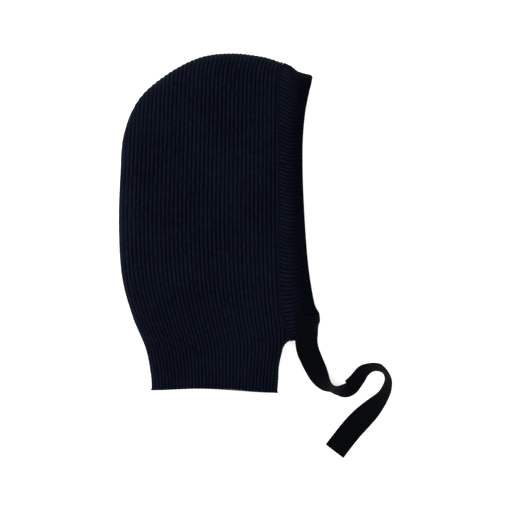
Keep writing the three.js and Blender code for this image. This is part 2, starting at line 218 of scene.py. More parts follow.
# %% Heights of the two layers
seam_low, seam_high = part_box("crown_and_back_seam")
EDGE_HIGH = (seam_low[2] + seam_high[2]) / 2
HEAD_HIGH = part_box("right_side_panel")[1][2]
NECK_HIGH = 23 * MM
FACE_HIGH = 25 * MM
RISE_FROM, RISE_TO = -0.42, -0.05  # shares of the hood's height, between neck and head
FACE_AT = 0.42  # share of its depth in front of its middle, where the face height is reached
UPPER_RUN = 40 * MM  # how far in from a closed edge the upper layer reaches its height
LOWER_RUN = 7 * MM  # how far in the lower layer comes down
PANEL_THICK = 2.8 * MM
BAND_THICK = 5.2 * MM
PATCH_LOW, PATCH_HIGH = (np.array(corner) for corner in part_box("left_tie_sewn_end"))
PATCH_RAISE = 2.0 * MM  # the lower layer over the ribbon end that is sewn under it
TENT_REACH, TENT_FADE = 10 * MM, 24 * MM  # how far beside it the cloth is raised, and sinks


def ease(start, end, value):
    """0 before start, 1 after end, and the cubic 3s^2 - 2s^3 between them."""
    s = np.clip((value - start) / (end - start), 0, 1)
    return s * s * (3 - 2 * s)


def mix(a, b, share):
    """a at share 0, b at share 1, and a straight line between."""
    return a + (b - a) * share


closed_lines = [line[::3] for line in (back, forehead, chin, neck_front)]
closed_starts = np.vstack([line[:-1] for line in closed_lines])
closed_ends = np.vstack([line[1:] for line in closed_lines])
print("closed edges:", len(closed_starts), "straight pieces")

# %% Height functions
def from_closed_edge(x, y):
    """Distance to the nearest closed edge: for each straight piece of it, the nearest point is at
    a clamped share of its length."""
    best = np.full(np.shape(x), np.inf)
    for (ax, ay), (bx, by) in zip(closed_starts, closed_ends):
        dx, dy = bx - ax, by - ay
        share = np.clip(((x - ax) * dx + (y - ay) * dy) / (dx * dx + dy * dy), 0, 1)
        best = np.minimum(best, (x - ax - share * dx) ** 2 + (y - ay - share * dy) ** 2)
    return np.sqrt(best)


def arch(distance, run):
    """A quarter of a circle, from 0 at the edge to 1 at run."""
    s = np.clip(distance / run, 0, 1)
    return np.sqrt(1 - (1 - s) ** 2)


def middle_height(x, y):
    """Height of the upper layer away from the edges: lower at the neck, and at the face."""
    tall, deep = hood_high[1] - hood_low[1], hood_high[0] - hood_low[0]
    head = mix(NECK_HIGH, HEAD_HIGH, ease(RISE_FROM * tall, RISE_TO * tall, y))
    return mix(head, FACE_HIGH, ease(0, FACE_AT * deep, x))


def upper(x, y):
    """Outside of the right side."""
    return EDGE_HIGH + (middle_height(x, y) - EDGE_HIGH) * arch(from_closed_edge(x, y), UPPER_RUN)


def lower(x, y):
    """Outside of the left side, which is raised a little over the ribbon end sewn on it."""
    middle = (PATCH_LOW + PATCH_HIGH) / 2
    half_x, half_y = TIE_WIDE / 2, (PATCH_HIGH[1] - PATCH_LOW[1]) / 2
    out_x, out_y = abs(x - middle[0]) - half_x, abs(y - middle[1]) - half_y
    away = np.hypot(np.maximum(0, out_x), np.maximum(0, out_y))
    raised = PATCH_RAISE * (1 - ease(TENT_REACH, TENT_REACH + TENT_FADE, away))
    return mix(EDGE_HIGH, raised, arch(from_closed_edge(x, y), LOWER_RUN))


print(f"closed edge {EDGE_HIGH / MM:.1f} mm up, head {HEAD_HIGH / MM:.1f} mm")

# %% [markdown]
# ## Meshes from grids
#
# Cloth has two faces and an edge. A fine grid makes the outside and a coarser one the inside,
# and strips of triangles close the rim between them, so every piece is one closed surface. A
# thread or a cord is a row of round sections with a cap on each end. All of them come from whole
# arrays, and foreach_set hands the arrays to Blender in one call.

# %% Grids and strips
def grid_quads(rows, columns, first=0, wrap_rows=False, wrap_columns=False, flip=False):
    """The four corners of every cell of a grid whose points are numbered row by row. Where rows
    or columns wrap, the last one joins the first."""
    i = np.arange(rows if wrap_rows else rows - 1)[:, None]
    j = np.arange(columns if wrap_columns else columns - 1)[None, :]
    next_i, next_j = (i + 1) % rows, (j + 1) % columns
    corners = [i * columns + j, i * columns + next_j, next_i * columns + next_j, next_i * columns + j]
    quads = np.stack(corners, axis=-1).reshape(-1, 4) + first
    return quads[:, ::-1] if flip else quads


def fan_cap(loop, flip=False):
    """Triangles that fill a round loop of point numbers, all from its first point."""
    fan = np.stack([np.full(len(loop) - 2, loop[0]), loop[1:-1], loop[2:]], 1)
    return fan[:, ::-1] if flip else fan


def rim_strip(fine, coarse, ratio):
    """Triangles between a fine row of points and a coarse one that has every ratio-th of them: a
    fan from each coarse point, and one triangle that carries it on to the next."""
    count = len(coarse) - 1
    fans = [np.stack([coarse[:-1], fine[m:-1:ratio][:count], fine[m + 1::ratio][:count]], 1)
            for m in range(ratio)]
    carry = np.stack([coarse[:-1], fine[ratio::ratio], coarse[1:]], 1)
    return np.vstack(fans + [carry])

# %% Making a piece
def make_piece(name, surface, material, replaces=(), uv=None, body="hood"):
    """A smooth mesh object out of a surface's points, quads and triangles, with its material and, if
    given, its UV, riding on a body of the frame, and with the CAD parts that it replaces hidden. A
    piece that bends between two bodies has no body here."""
    points, quads, triangles = surface
    quads = np.asarray(quads, int).reshape(-1, 4)
    triangles = np.asarray(triangles, int).reshape(-1, 3)
    corners = np.concatenate([quads.ravel(), triangles.ravel()])
    sizes = np.concatenate([np.full(len(quads), 4), np.full(len(triangles), 3)])
    mesh = bpy.data.meshes.new(name)
    mesh.vertices.add(len(points))
    mesh.vertices.foreach_set("co", np.asarray(points, np.float32).ravel())
    mesh.loops.add(len(corners))
    mesh.loops.foreach_set("vertex_index", corners.astype(np.int32))
    mesh.polygons.add(len(sizes))
    loop_starts = np.concatenate([[0], np.cumsum(sizes)[:-1]])
    mesh.polygons.foreach_set("loop_start", loop_starts.astype(np.int32))
    mesh.polygons.foreach_set("use_smooth", np.full(len(sizes), True))
    if uv is not None:
        layer = mesh.uv_layers.new(name="cloth")
        layer.data.foreach_set("uv", np.asarray(uv, np.float32)[corners].ravel())
    mesh.update(calc_edges=True)
    piece = bpy.data.objects.new(name, mesh)
    bpy.context.scene.collection.objects.link(piece)
    if body:
        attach(piece, body)
    if replaces:
        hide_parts(*replaces)
    mesh.materials.append(material)
    print(f"{name}: {len(quads) * 2 + len(triangles)} triangles")
    return piece

# %% Shells, sweeps and sets
def cloth_shell(outer, inner, ratio):
    """Points, quads and triangles of a sheet with a fine outer grid and an inner grid that has
    every ratio-th row and column of it."""
    (rows, columns), (few_rows, few_columns) = outer.shape[:2], inner.shape[:2]
    first = rows * columns
    fine = np.arange(first).reshape(rows, columns)
    coarse = first + np.arange(few_rows * few_columns).reshape(few_rows, few_columns)
    quads = [grid_quads(rows, columns), grid_quads(few_rows, few_columns, first, flip=True)]
    strips = [
        rim_strip(fine[:, 0], coarse[:, 0], ratio),
        rim_strip(fine[:, -1], coarse[:, -1], ratio)[:, ::-1],
        rim_strip(fine[0], coarse[0], ratio)[:, ::-1],
        rim_strip(fine[-1], coarse[-1], ratio),
    ]
    points = np.vstack([outer.reshape(-1, 3), inner.reshape(-1, 3)])
    return points, np.vstack(quads), np.vstack(strips)


def swept(sections):
    """Points, quads and triangles of closed loops carried along a path, sections[along, around],
    with a cap on each end."""
    rows, columns = sections.shape[:2]
    numbers = np.arange(rows * columns).reshape(rows, columns)
    caps = np.vstack([fan_cap(numbers[0], flip=True), fan_cap(numbers[-1])])
    return sections.reshape(-1, 3), grid_quads(rows, columns, wrap_columns=True), caps


def many(parts):
    """One set of points, quads and triangles out of several."""
    firsts = np.cumsum([0] + [len(points) for points, _, _ in parts[:-1]])
    quads = [np.reshape(q, (-1, 4)) + first for (_, q, _), first in zip(parts, firsts)]
    triangles = [np.reshape(t, (-1, 3)) + first for (_, _, t), first in zip(parts, firsts)]
    return np.vstack([p for p, _, _ in parts]), np.vstack(quads), np.vstack(triangles)


def normals_of(grid, wrap_rows=False):
    """Unit normals of a grid of points: the cross product of its steps along columns and rows."""
    if wrap_rows:
        up = np.roll(grid, -1, axis=0) - np.roll(grid, 1, axis=0)
    else:
        up = np.gradient(grid, axis=0)
    return unit(np.cross(np.gradient(grid, axis=1), up))

# %% [markdown]
# ## Shader helpers
#
# A material is a tree of small nodes. These short calls add a node, join its inputs and hand back
# its output, so that a pattern reads like the sum that it is. What several finishes share is a
# node group: the fuzz and flecks of yarn are in every knitted piece, in the seams and in thread.

# %% Nodes
def join(tree, socket, value):
    """Links an output to a socket, or sets the socket to a plain value."""
    if isinstance(value, bpy.types.NodeSocket):
        tree.links.new(value, socket)
    elif value is not None:
        socket.default_value = value


def node(tree, kind, settings=None, **inputs):
    """A node of a kind, with its settings, and its inputs by name with _ for a space."""
    made = tree.nodes.new("ShaderNode" + kind)
    for key, value in (settings or {}).items():
        setattr(made, key, value)
    for key, value in inputs.items():
        join(tree, made.inputs[key.replace("_", " ")], value)
    return made


def calc(tree, operation, *values):
    """One sum on numbers."""
    made = node(tree, "Math", {"operation": operation})
    for socket, value in zip(made.inputs, values):
        join(tree, socket, value)
    return made.outputs[0]


def between(tree, value, low, high, to_low=0.0, to_high=1.0):
    """A value carried smoothly from one range to another, and held at its ends."""
    made = node(tree, "MapRange", {"interpolation_type": "SMOOTHSTEP"}, Value=value)
    for socket, number in zip(list(made.inputs)[1:5], (low, high, to_low, to_high)):
        socket.default_value = number
    return made.outputs[0]


def blend_colours(tree, share, first, second):
    """Two colours mixed by a share. A colour is red, green and blue, or an output."""
    made = node(tree, "Mix", {"data_type": "RGBA"})
    join(tree, made.inputs[0], share)
    for socket, colour in zip((made.inputs[6], made.inputs[7]), (first, second)):
        join(tree, socket, (*colour, 1) if isinstance(colour, tuple) else colour)
    return made.outputs[2]


def noise(tree, vector, scale, detail=2.0, roughness=0.5):
    """Seedless noise from 0 to 1."""
    made = node(tree, "TexNoise", None, Vector=vector, Scale=scale, Detail=detail, Roughness=roughness)
    return made.outputs[0]

# %% Groups and materials
def new_group(name, inputs, outputs):
    """An empty node group with named sockets, its input node's outputs, and its output node."""
    tree = bpy.data.node_groups.new(name, "ShaderNodeTree")
    for (socket, kind), way in [(i, "INPUT") for i in inputs] + [(o, "OUTPUT") for o in outputs]:
        tree.interface.new_socket(socket, in_out=way, socket_type="NodeSocket" + kind)
    return tree, tree.nodes.new("NodeGroupInput").outputs, tree.nodes.new("NodeGroupOutput").inputs


def use_group(tree, group, **inputs):
    """A node group placed in a tree, with its inputs by name."""
    made = tree.nodes.new("ShaderNodeGroup")
    made.node_tree = group
    for key, value in inputs.items():
        join(tree, made.inputs[key.replace("_", " ")], value)
    return made.outputs


def new_material(name, roughness, specular, sheen=0.0, sheen_tint=(1, 1, 1)):
    """A material and its shader. What is the same all over goes straight on the shader."""
    material = bpy.data.materials.new(name)
    material.use_nodes = True
    shader = material.node_tree.nodes["Principled BSDF"]
    shader.inputs["Roughness"].default_value = roughness
    shader.inputs["Specular IOR Level"].default_value = specular
    shader.inputs["Sheen Weight"].default_value = sheen
    shader.inputs["Sheen Roughness"].default_value = 0.5
    shader.inputs["Sheen Tint"].default_value = (*sheen_tint, 1)
    return material, material.node_tree, shader


def rough_surface(tree, shader, colour, height, distance):
    """Gives a shader its colour, and a bump from a height times a distance."""
    join(tree, shader.inputs["Base Color"], colour)
    bump = node(tree, "Bump", None, Height=height, Distance=distance)
    join(tree, shader.inputs["Normal"], bump.outputs[0])

# %% Yarn group: fuzz and flecks
yarn_group, given, put = new_group(
    "yarn", [("Place", "Vector"), ("Fuzz Scale", "Float")],
    [("Fuzz", "Float"), ("Fleck", "Float"), ("Patch", "Float")])
# fuzz is fine noise; a fleck is a rare pale fibre; a patch is a slow change of shade
join(yarn_group, put["Fuzz"], noise(yarn_group, given["Place"], given["Fuzz Scale"], 4.0, 0.65))
fleck = noise(yarn_group, given["Place"], 1100.0, 1.0)
join(yarn_group, put["Fleck"], between(yarn_group, fleck, 0.60, 0.76))
patch = noise(yarn_group, given["Place"], 24.0, 2.0)
join(yarn_group, put["Patch"], between(yarn_group, patch, 0.32, 0.68))
print("groups:", [g.name for g in bpy.data.node_groups])

# %% [markdown]
# ## Floor and light
#
# A large pale floor and an even white sky give light from every side with no hard shadow. The
# floor glows, like a light table, so that the shadow beside the hood is burnt out. One wide soft
# lamp up and to the left gives the ribs a light side and a dark one. The view transform is
# Standard, so a dark yarn keeps the depth that it is given.

# %% Floor, sky and lamp
FLOOR_HALF = 3.0
FLOOR_DROP = 0.3 * MM
FLOOR_SHADE, FLOOR_GLOW = 0.85, 0.6
LAMP_WIDE, LAMP_WATTS = 1.1, 14.0
LAMP_AT = (-1.1, 0.75, 1.25)
floor_mesh = bpy.data.meshes.new("floor")
floor_corners = [(x, y, -FLOOR_DROP) for x, y in ((-1, -1), (1, -1), (1, 1), (-1, 1))]
floor_mesh.from_pydata(np.array(floor_corners) * [FLOOR_HALF, FLOOR_HALF, 1], [], [(0, 1, 2, 3)])
floor = bpy.data.objects.new("floor", floor_mesh)
bpy.context.scene.collection.objects.link(floor)
floor_material, _, floor_shader = new_material("pale_floor", 0.9, 0.1)
floor_shader.inputs["Base Color"].default_value = (FLOOR_SHADE, FLOOR_SHADE, FLOOR_SHADE, 1)
floor_shader.inputs["Emission Color"].default_value = (1, 1, 1, 1)
floor_shader.inputs["Emission Strength"].default_value = FLOOR_GLOW
floor_mesh.materials.append(floor_material)

world = bpy.data.worlds.new("studio")
bpy.context.scene.world = world
world.use_nodes = True
world.node_tree.nodes["Background"].inputs["Color"].default_value = (1, 1, 1, 1)
world.node_tree.nodes["Background"].inputs["Strength"].default_value = 1.0

lamp_data = bpy.data.lights.new("soft_lamp", "AREA")
lamp_data.shape = "DISK"
lamp_data.size = LAMP_WIDE
lamp_data.energy = LAMP_WATTS
lamp = bpy.data.objects.new("soft_lamp", lamp_data)
bpy.context.scene.collection.objects.link(lamp)
lamp.location = LAMP_AT
lamp.rotation_euler = (-lamp.location).to_track_quat("-Z", "Y").to_euler()
bpy.context.scene.view_settings.view_transform = "Standard"
print("lamp:", tuple(round(c, 2) for c in lamp.location))

# %% [markdown]
# ## Rib knit
#
# In a 1x1 rib, one column of stitches stands up and the next sinks back, over and over. Each
# ridge is a rounded hump, and the sunk column between two ridges is a narrow valley. The ridge
# swells and thins at each stitch, along the V that the two legs of the stitch make. That shape is
# real geometry here, because it shows at the outline. The material follows the same V on the
# cloth's own UV, one unit across for each rib and one up for each row of stitches, with a finer
# bump, and with shade painted into the colour in the valleys and between the legs.

# %% Rib profile
HUMP_POWER = 0.65
RIDGE_HIGH = 1.7 * MM  # from the bottom of a valley to the top of a ridge
ABOVE_CAD = 0.55  # share of that which stands proud of the plain CAD surface
STITCH_SWELL = 0.30  # share of the ridge's height that comes and goes with each stitch
STITCH_LEAN = 1.7  # how far a leg of a stitch climbs from a ridge to the next, in stitches
UNEVEN = 0.14  # share of the ridge's height that differs from stitch to stitch
PANEL_RIBS = 38
COURSE = 3.3 * MM  # height of one row of stitches


def rib(ribs, courses):
    """0 in a valley and 1 on a ridge: a raised cosine to the power 0.65, with whole numbers of
    ribs at the ridges. It dips between one stitch and the next by a cosine that leans back from
    the ridge on both sides, which draws the V of each stitch. Two slow waves with a phase of
    their own on each ridge make the stitches uneven, as hand-fed yarn does."""
    ridge = np.round(ribs)
    hump = (0.5 + 0.5 * np.cos(2 * math.pi * ribs)) ** HUMP_POWER
    phase = courses - STITCH_LEAN * abs(ribs - ridge)
    swell = 1 - STITCH_SWELL * (0.5 + 0.5 * np.cos(2 * math.pi * phase))
    waves = np.sin(1.9 * courses + 2.4 * ridge) + np.sin(0.83 * courses + 4.1 * ridge)
    return hump * (swell - UNEVEN * (0.5 - 0.25 * waves))


print("ribs on a panel:", PANEL_RIBS)

# %% Knit finish
stitch_group, given, put = new_group(
    "knit_stitch", [("Cloth", "Vector")],
    [("Leg", "Float"), ("Ridge", "Float"), ("Heather", "Float"), ("Course", "Float")])
across = node(stitch_group, "SeparateXYZ", None, Vector=given["Cloth"]).outputs
off_ridge = calc(stitch_group, "PINGPONG", across[0], 0.5)  # 0 on a ridge, 0.5 in a valley
lean = calc(stitch_group, "MULTIPLY", off_ridge, STITCH_LEAN)
phase = calc(stitch_group, "FRACT", calc(stitch_group, "SUBTRACT", across[1], lean))
leg = calc(stitch_group, "SINE", calc(stitch_group, "MULTIPLY", phase, math.pi))
join(stitch_group, put["Leg"], calc(stitch_group, "POWER", leg, 0.6))
join(stitch_group, put["Ridge"], between(stitch_group, off_ridge, 0.46, 0.20))
# heather is a mottle a rib wide and a few stitches long, as the yarn's shade comes and goes
drawn_out = node(stitch_group, "Mapping", None, Vector=given["Cloth"], Scale=(1.1, 0.42, 1.0)).outputs[0]
mottle = noise(stitch_group, drawn_out, 1.0, 3.0, 0.6)
join(stitch_group, put["Heather"], between(stitch_group, mottle, 0.33, 0.67))
join(stitch_group, put["Course"], across[1])

HEATHER = 0.5  # how much darker the mottle makes the darkest stitches
FLECK = 0.5  # how far a fleck goes to the pale colour on a stitch that is painted lit; in painted shade a fleck shows less
FADED_SHADE = 0.2  # share of the painted rib light and shade left at the smooth free edge, which paints the edge dark as shade on its fold


def knit_material(name, valley, ridge, fades=None):
    """Yarn with shade painted into its colour: it is darker between the ribs and between the legs of
    each stitch, where valley is the painted shade colour and ridge the painted lit one. It has pale
    flecks, which fade with that painted shade, a heather mottle and slow random changes of tone.
    Where the ribs die away, fades gives the courses between which the painted light and shade of
    the ribs dies out and the cloth is painted dark, as shade on the fold of the free edge. Colours
    are linear red, green and blue."""
    material, tree, shader = new_material(name, 0.95, 0.02, 0.02, (0.55, 0.62, 1.0))
    place = node(tree, "TexCoord").outputs["Object"]
    cloth = node(tree, "UVMap", {"uv_map": "cloth"}).outputs[0]
    yarn = use_group(tree, yarn_group, Place=place, Fuzz_Scale=1500.0)
    stitch = use_group(tree, stitch_group, Cloth=cloth)
    # painted shade between the legs of each stitch: the colour is dimmed to 0.45 there
    leg = calc(tree, "MULTIPLY_ADD", stitch["Leg"], 0.55, 0.45)
    heather = calc(tree, "MULTIPLY_ADD", stitch["Heather"], HEATHER, 1 - HEATHER)
    # painted light: the ridges and the legs of their stitches are painted lit and the valleys dark,
    # times the heather mottle, which is the yarn's own
    painted_light_and_heather = calc(tree, "MULTIPLY", calc(tree, "MULTIPLY", stitch["Ridge"], leg), heather)
    shade = calc(tree, "MULTIPLY_ADD", yarn["Patch"], 0.16, calc(tree, "MULTIPLY", painted_light_and_heather, 0.84))
    # painted shade: towards the band's free edge the painted rib light fades out and the cloth is
    # painted dark, as shade on its fold
    if fades:
        shade = calc(tree, "MULTIPLY", shade, between(tree, stitch["Course"], *fades, 1.0, FADED_SHADE))
    # the valley colour is painted shade in the rib valleys and between the legs, and the ridge colour is
    # the painted light on the ridges; the slow patches are the yarn's own
    colour = blend_colours(tree, shade, valley, ridge)
    pale = tuple(min(1.0, 2.2 * c + 0.004) for c in ridge)
    fleck = calc(tree, "MULTIPLY", calc(tree, "MULTIPLY", yarn["Fleck"], shade), FLECK)
    colour = blend_colours(tree, fleck, colour, pale)
    height = calc(tree, "MULTIPLY_ADD", yarn["Fuzz"], 0.35, calc(tree, "MULTIPLY", stitch["Leg"], 0.8))
    rough_surface(tree, shader, colour, height, 0.0004)
    return material


# the first colour is the painted shade of the valleys, the second the painted lit colour of the ridges
RIB_KNIT = knit_material("rib_knit", (0.0003, 0.0005, 0.0017), (0.0055, 0.0075, 0.0174))
print("knit stitch:", round(COURSE / MM, 1), "mm high")

# %% [markdown]
# ## The side panels
#
# The ribs run up the panel from the neck hem. They crowd together where the neck narrows, spread
# over the head, lean a little with the line of the face band, and end where the crown cuts them
# off. At the chin a few short ribs fan forward on to the band. So the columns of the grid follow
# the ribs, and its rows follow the courses of stitches.

# %% Panel layout
CROWN_FROM = 20 * MM  # rows are level up to here, and above it they spread up to the crown
CROWN_CORNER = 75 * MM  # the back column ends here
SEAM_CLEAR = 1.6 * MM  # from the middle of the band's seam to the cloth beside it
CHIN_FAN = [  # where the last full rib runs, past the short ones at the chin
    [63.3, -187], [64.4, -173], [66.2, -156], [68.6, -138], [68.8, -122], [67, -104],
    [64.8, -80], [63.6, -41],
]
NECK_CORNER_AT, CHIN_CORNER_AT = -135 * MM, -120 * MM  # the front is closed up to here, open above
HEM_IN = 1.2 * MM  # the cast-off edge makes up this much of the panel's length
FAN_FROM, GAP_FROM = 0.8, 0.9  # shares across, where the short ribs and the seam's gap start
CROWN_GUESS = 150 * MM  # a first height for the column tops
CROWN_LINE_FROM = 40 * MM  # the line that the columns end on starts at this height
LEAN_RUN = 20 * MM  # the back's slope at the crown corner is measured over this height
PANEL_COLUMNS, LOW_ROWS, HIGH_ROWS = 6 * PANEL_RIBS, 188, 152  # cells of the outer grid
PANEL_RATIO = 4  # cells of it to one of the inner grid

seam_up = seam[::-1]
front_line = np.vstack([neck_front[:-1], seam_up])
fan = laid(CHIN_FAN)
past_fan = seam_up[:, 1] > fan[-1, 1] + 2 * MM
fan_line = np.vstack([fan, seam_up[past_fan]])
back_up = back[:np.argmax(back[:, 1])]
crown_line = back[np.argmax(back[:, 1] > CROWN_LINE_FROM):]
print("short ribs end", round((fan[-1, 1] - hood_low[1]) / MM), "mm above the hem")

# %% Panel columns
def back_x(y):
    """The back outline, carried straight on above the corner where the crown begins."""
    heights = [CROWN_CORNER, CROWN_CORNER - LEAN_RUN]
    corner, below = np.interp(heights, back_up[:, 1], back_up[:, 0])
    along = np.interp(y, back_up[:, 1], back_up[:, 0])
    return np.where(y < CROWN_CORNER, along, corner + (corner - below) / LEAN_RUN * (y - CROWN_CORNER))


def panel_x(s, y):
    """Where column s is at height y: between the back and the last full rib, with the short ribs
    at the chin taking up the room between that and the true front."""
    fan_x = np.interp(y, fan_line[:, 1], fan_line[:, 0])
    front_x = np.interp(y, front_line[:, 1], front_line[:, 0])
    gap = SEAM_CLEAR * ease(NECK_CORNER_AT, CHIN_CORNER_AT, y) * ease(GAP_FROM, 1, s)
    return mix(back_x(y), fan_x, s) + (front_x - fan_x) * ease(FAN_FROM, 1, s) - gap

# %% Panel grid
def panel_grid(ratio, inset):
    """Plan positions, rib numbers and course numbers of a panel's grid, or of the coarser one that
    has every ratio-th row and column, with its closed edges moved in by inset."""
    s = np.linspace(0, 1, PANEL_COLUMNS // ratio + 1)[None, :]
    t = np.linspace(0, 1, LOW_ROWS // ratio + 1)[:, None]
    hem_y = np.interp(s, np.linspace(0, 1, len(hem)), hem[:, 1])
    y_low = mix(hem_y + HEM_IN, CROWN_FROM, t)
    shut = inset * (1 - ease(NECK_CORNER_AT, CHIN_CORNER_AT, y_low))
    x_low = panel_x(s, y_low) + mix(inset, -shut, s)
    y_top = np.full_like(s, CROWN_GUESS)
    for _ in range(60):  # each column's top is where it meets the crown line
        x_top = panel_x(s, y_top) + inset * (1 - s)
        y_top = mix(y_top, np.interp(x_top, crown_line[:, 0], crown_line[:, 1]) - 1.2 * inset, 0.5)
    t = np.linspace(0, 1, HIGH_ROWS // ratio + 1)[1:, None]
    y_high = mix(CROWN_FROM, y_top, t)
    x_high = panel_x(s, y_high) + inset * (1 - s)
    x, y = np.vstack([x_low, x_high]), np.vstack([y_low, y_high])
    fan_x = np.interp(y, fan_line[:, 1], fan_line[:, 0])
    ribs = PANEL_RIBS * (x - back_x(y)) / (fan_x - back_x(y))
    return x, y, ribs, (y - hem[:, 1].min()) / COURSE


print("courses up the panel:", round((hood_high[1] - hood_low[1]) / COURSE))

# %% Panel pieces
PANEL_RIM = 1.3 * MM  # from the middle of the closed edge to a panel's rim
EDGE_FADE = 6 * MM  # the ribs are pulled flatter this close to a closed edge
EDGE_RIBS = 0.5  # share of the ribs' height left at the edge itself
UNDER_PROUD = 0.05  # as ABOVE_CAD, for the side that lies on the surface
DRAPE_HIGH = 0.35 * MM


def drape(x, y):
    """A slow unevenness of the upper layer: three crossed waves 70 to 100 mm long."""
    first, second = np.sin(61 * x + 23 * y + 0.5), np.sin(-38 * x + 47 * y + 1.9)
    return DRAPE_HIGH * (first + second + 0.6 * np.sin(88 * x - 31 * y))


def side_panel(name, node_name, outside, side):
    """One side of the hood. Its outside is moved along its normal by the ribs, and its inside is
    a panel's thickness further in. side is 1 above the closed edge and -1 below it."""
    rim = EDGE_HIGH + side * PANEL_RIM
    x, y, ribs, courses = panel_grid(1, 0)
    away = from_closed_edge(x, y)
    z = side * np.maximum(side * outside(x, y), side * rim)
    if side > 0:
        z = z + drape(x, y) * ease(0, UPPER_RUN, away)
    base = np.stack([x, y, z], axis=-1)
    inland = ease(0, EDGE_FADE, away)
    proud = (ABOVE_CAD if side > 0 else UNDER_PROUD) * inland
    height = (rib(ribs, courses) - 1 + proud) * RIDGE_HIGH * mix(EDGE_RIBS, 1, inland)
    outer = base + normals_of(base) * (side * height)[..., None]
    x, y, few_ribs, few_courses = panel_grid(PANEL_RATIO, PANEL_THICK)
    away = np.maximum(0, from_closed_edge(x, y) - PANEL_THICK)
    if side > 0:
        top = middle_height(x, y) - PANEL_THICK
        z = mix(rim, top, arch(away, UPPER_RUN - PANEL_THICK)) + drape(x, y) * ease(0, UPPER_RUN, away)
    else:
        z = mix(rim, np.minimum(rim, lower(x, y) + PANEL_THICK), arch(away, LOWER_RUN))
    inner = np.stack([x, y, z], axis=-1)
    points, quads, triangles = cloth_shell(outer, inner, PANEL_RATIO)
    if side < 0:
        quads, triangles = quads[:, ::-1], triangles[:, ::-1]
    uv = np.vstack([np.stack([ribs, courses], -1).reshape(-1, 2),
                    np.stack([few_ribs, few_courses], -1).reshape(-1, 2)])
    make_piece(name, (points, quads, triangles), RIB_KNIT, [node_name], uv)


side_panel("right_panel_knit", "right_side_panel", upper, 1)
side_panel("left_panel_knit", "left_side_panel", lower, -1)

# %% [markdown]
# ## The face band
#
# The band is a strip of the same rib knit, folded double, that runs all the way round the face
# opening: down the right side, round the chin, up the left side and over the forehead. Its ribs
# cross it, standing clear where it is linked to the panels and dying away towards the smooth fold
# of its free edge. So it is one closed ring: a row of points for each place round the opening,
# and each row goes across the outside, round the fold and back along the inside.

# %% A ring round the face opening
def at(line, share):
    """The line's point at a share of its own points, straight between them."""
    place = np.asarray(share) * (len(line) - 1)
    return np.stack([np.interp(place, np.arange(len(line)), column) for column in line.T], axis=-1)


def left_of(line):
    """The unit direction to the left of the line, in plan."""
    way = unit(np.gradient(line, axis=0))
    return np.column_stack([-way[:, 1], way[:, 0]])


top_fold, chin_fold = (
    line[np.linalg.norm(line - line[0], axis=1) >= SEAM_CLEAR] for line in (forehead, chin))
band_start = seam + left_of(seam) * SEAM_CLEAR
band_start[0], band_start[-1] = top_fold[0], chin_fold[0]
LEVEL_TOP, LEVEL_BOTTOM = 60 * MM, -20 * MM  # between these heights the band's ribs are level
print(f"forehead fold: {np.linalg.norm(top_fold[-1] - top_fold[0]) / MM:.0f} mm")


def free_share(along):
    """Share of the free edge that a rib from this share of the seam runs to. It is level with its
    start, and drawn in smoothly towards the folds, where the free edge is the shorter side."""
    shares = np.linspace(0, 1, len(seam))
    y = np.interp(along, shares, band_start[:, 1])
    down = ease(LEVEL_TOP, band_start[0, 1], y) * (band_start[0, 1] - free_edge[0, 1])
    up = ease(LEVEL_BOTTOM, band_start[-1, 1], y) * (free_edge[-1, 1] - band_start[-1, 1])
    return np.interp(down - up - y, -free_edge[:, 1], np.linspace(0, 1, len(free_edge)))


def band_plan(across, along):
    """A point of the flat band: its two long sides blended across it, plus its two folds blended
    along it, less what the four corners give twice."""
    across, along = np.broadcast_arrays(across, along)
    a, b = across[..., None], along[..., None]
    sides = mix(at(band_start, along), at(free_edge, free_share(along)), a)
    folds = mix(at(top_fold, across), at(chin_fold, across), b)
    corners = mix(mix(top_fold[0], top_fold[-1], a), mix(chin_fold[0], chin_fold[-1], a), b)
    return sides + folds - corners

# %% Turns round the ring
def along_of(turn):
    """Share of the way from forehead to chin. A turn from 0 to 1 is the right side and from 1 to
    2 the left side, and half a cosine draws the rows together at the folds."""
    return (1 - np.cos(math.pi * turn)) / 2


def raised(plan, turn):
    """Plan points put on the upper layer where the turn is below 1, and on the lower one above."""
    x, y = plan[..., 0], plan[..., 1]
    z = np.where(turn < 1, upper(x, y), lower(x, y))
    return np.concatenate([plan, z[..., None]], axis=-1)


def even_turns(plan_at, pitch, per_pitch):
    """Turns at equal lengths round a ring, with a whole number of pitches in it, and that number."""
    turns = np.linspace(0, 2, 4001)
    ring = raised(plan_at(along_of(turns)), turns)
    along = np.concatenate([[0], np.cumsum(np.linalg.norm(np.diff(ring, axis=0), axis=1))])
    count = round(along[-1] / pitch)
    wanted = np.arange(count * per_pitch) / (count * per_pitch) * along[-1]
    return np.interp(wanted, along, turns), count

# %% Band sizes
BAND_PITCH = 4.2 * MM  # one rib of the band
BAND_RELIEF = 1.6 * MM
EDGE_RELIEF = 0.06  # share of it left at the free edge
EDGE_FROM, EDGE_TO = 0.05, 0.85  # shares across the band, between which it dies away
BAND_FADES = (1.0, 6.0)  # courses between which its painted rib light and shade dies away too, and the band is painted dark as shade on its fold
TIE_PRESS = 0.25  # share of it left under the ribbon that is sewn on
PRESS_REACH = 4 * MM  # how far beside the ribbon the ribs are pressed
RIB_POINTS = 8  # rows of points for one rib
UPPER_GROUND, LOWER_GROUND = -0.45, -0.95  # a valley's depth on each layer, in ridges
INSIDE_RELIEF = 0.35  # share of the relief that shows on the inside
ACROSS_OUT, ROUND_STEPS, ACROSS_IN = 26, 7, 10  # points on the outside, the fold and the inside
FOLD_THIN = 3.4 * MM  # the double cloth is pulled this thin where it turns round at the ends
FOLD_RUN = 16 * MM  # it has its full thickness this far in
MIDDLE = 0.5  # share across the band where its ribs are counted
BAND_TURNS, BAND_RIBS = even_turns(
    lambda along: band_plan(np.full_like(along, MIDDLE), along), BAND_PITCH, RIB_POINTS)
print("band ribs:", BAND_RIBS)

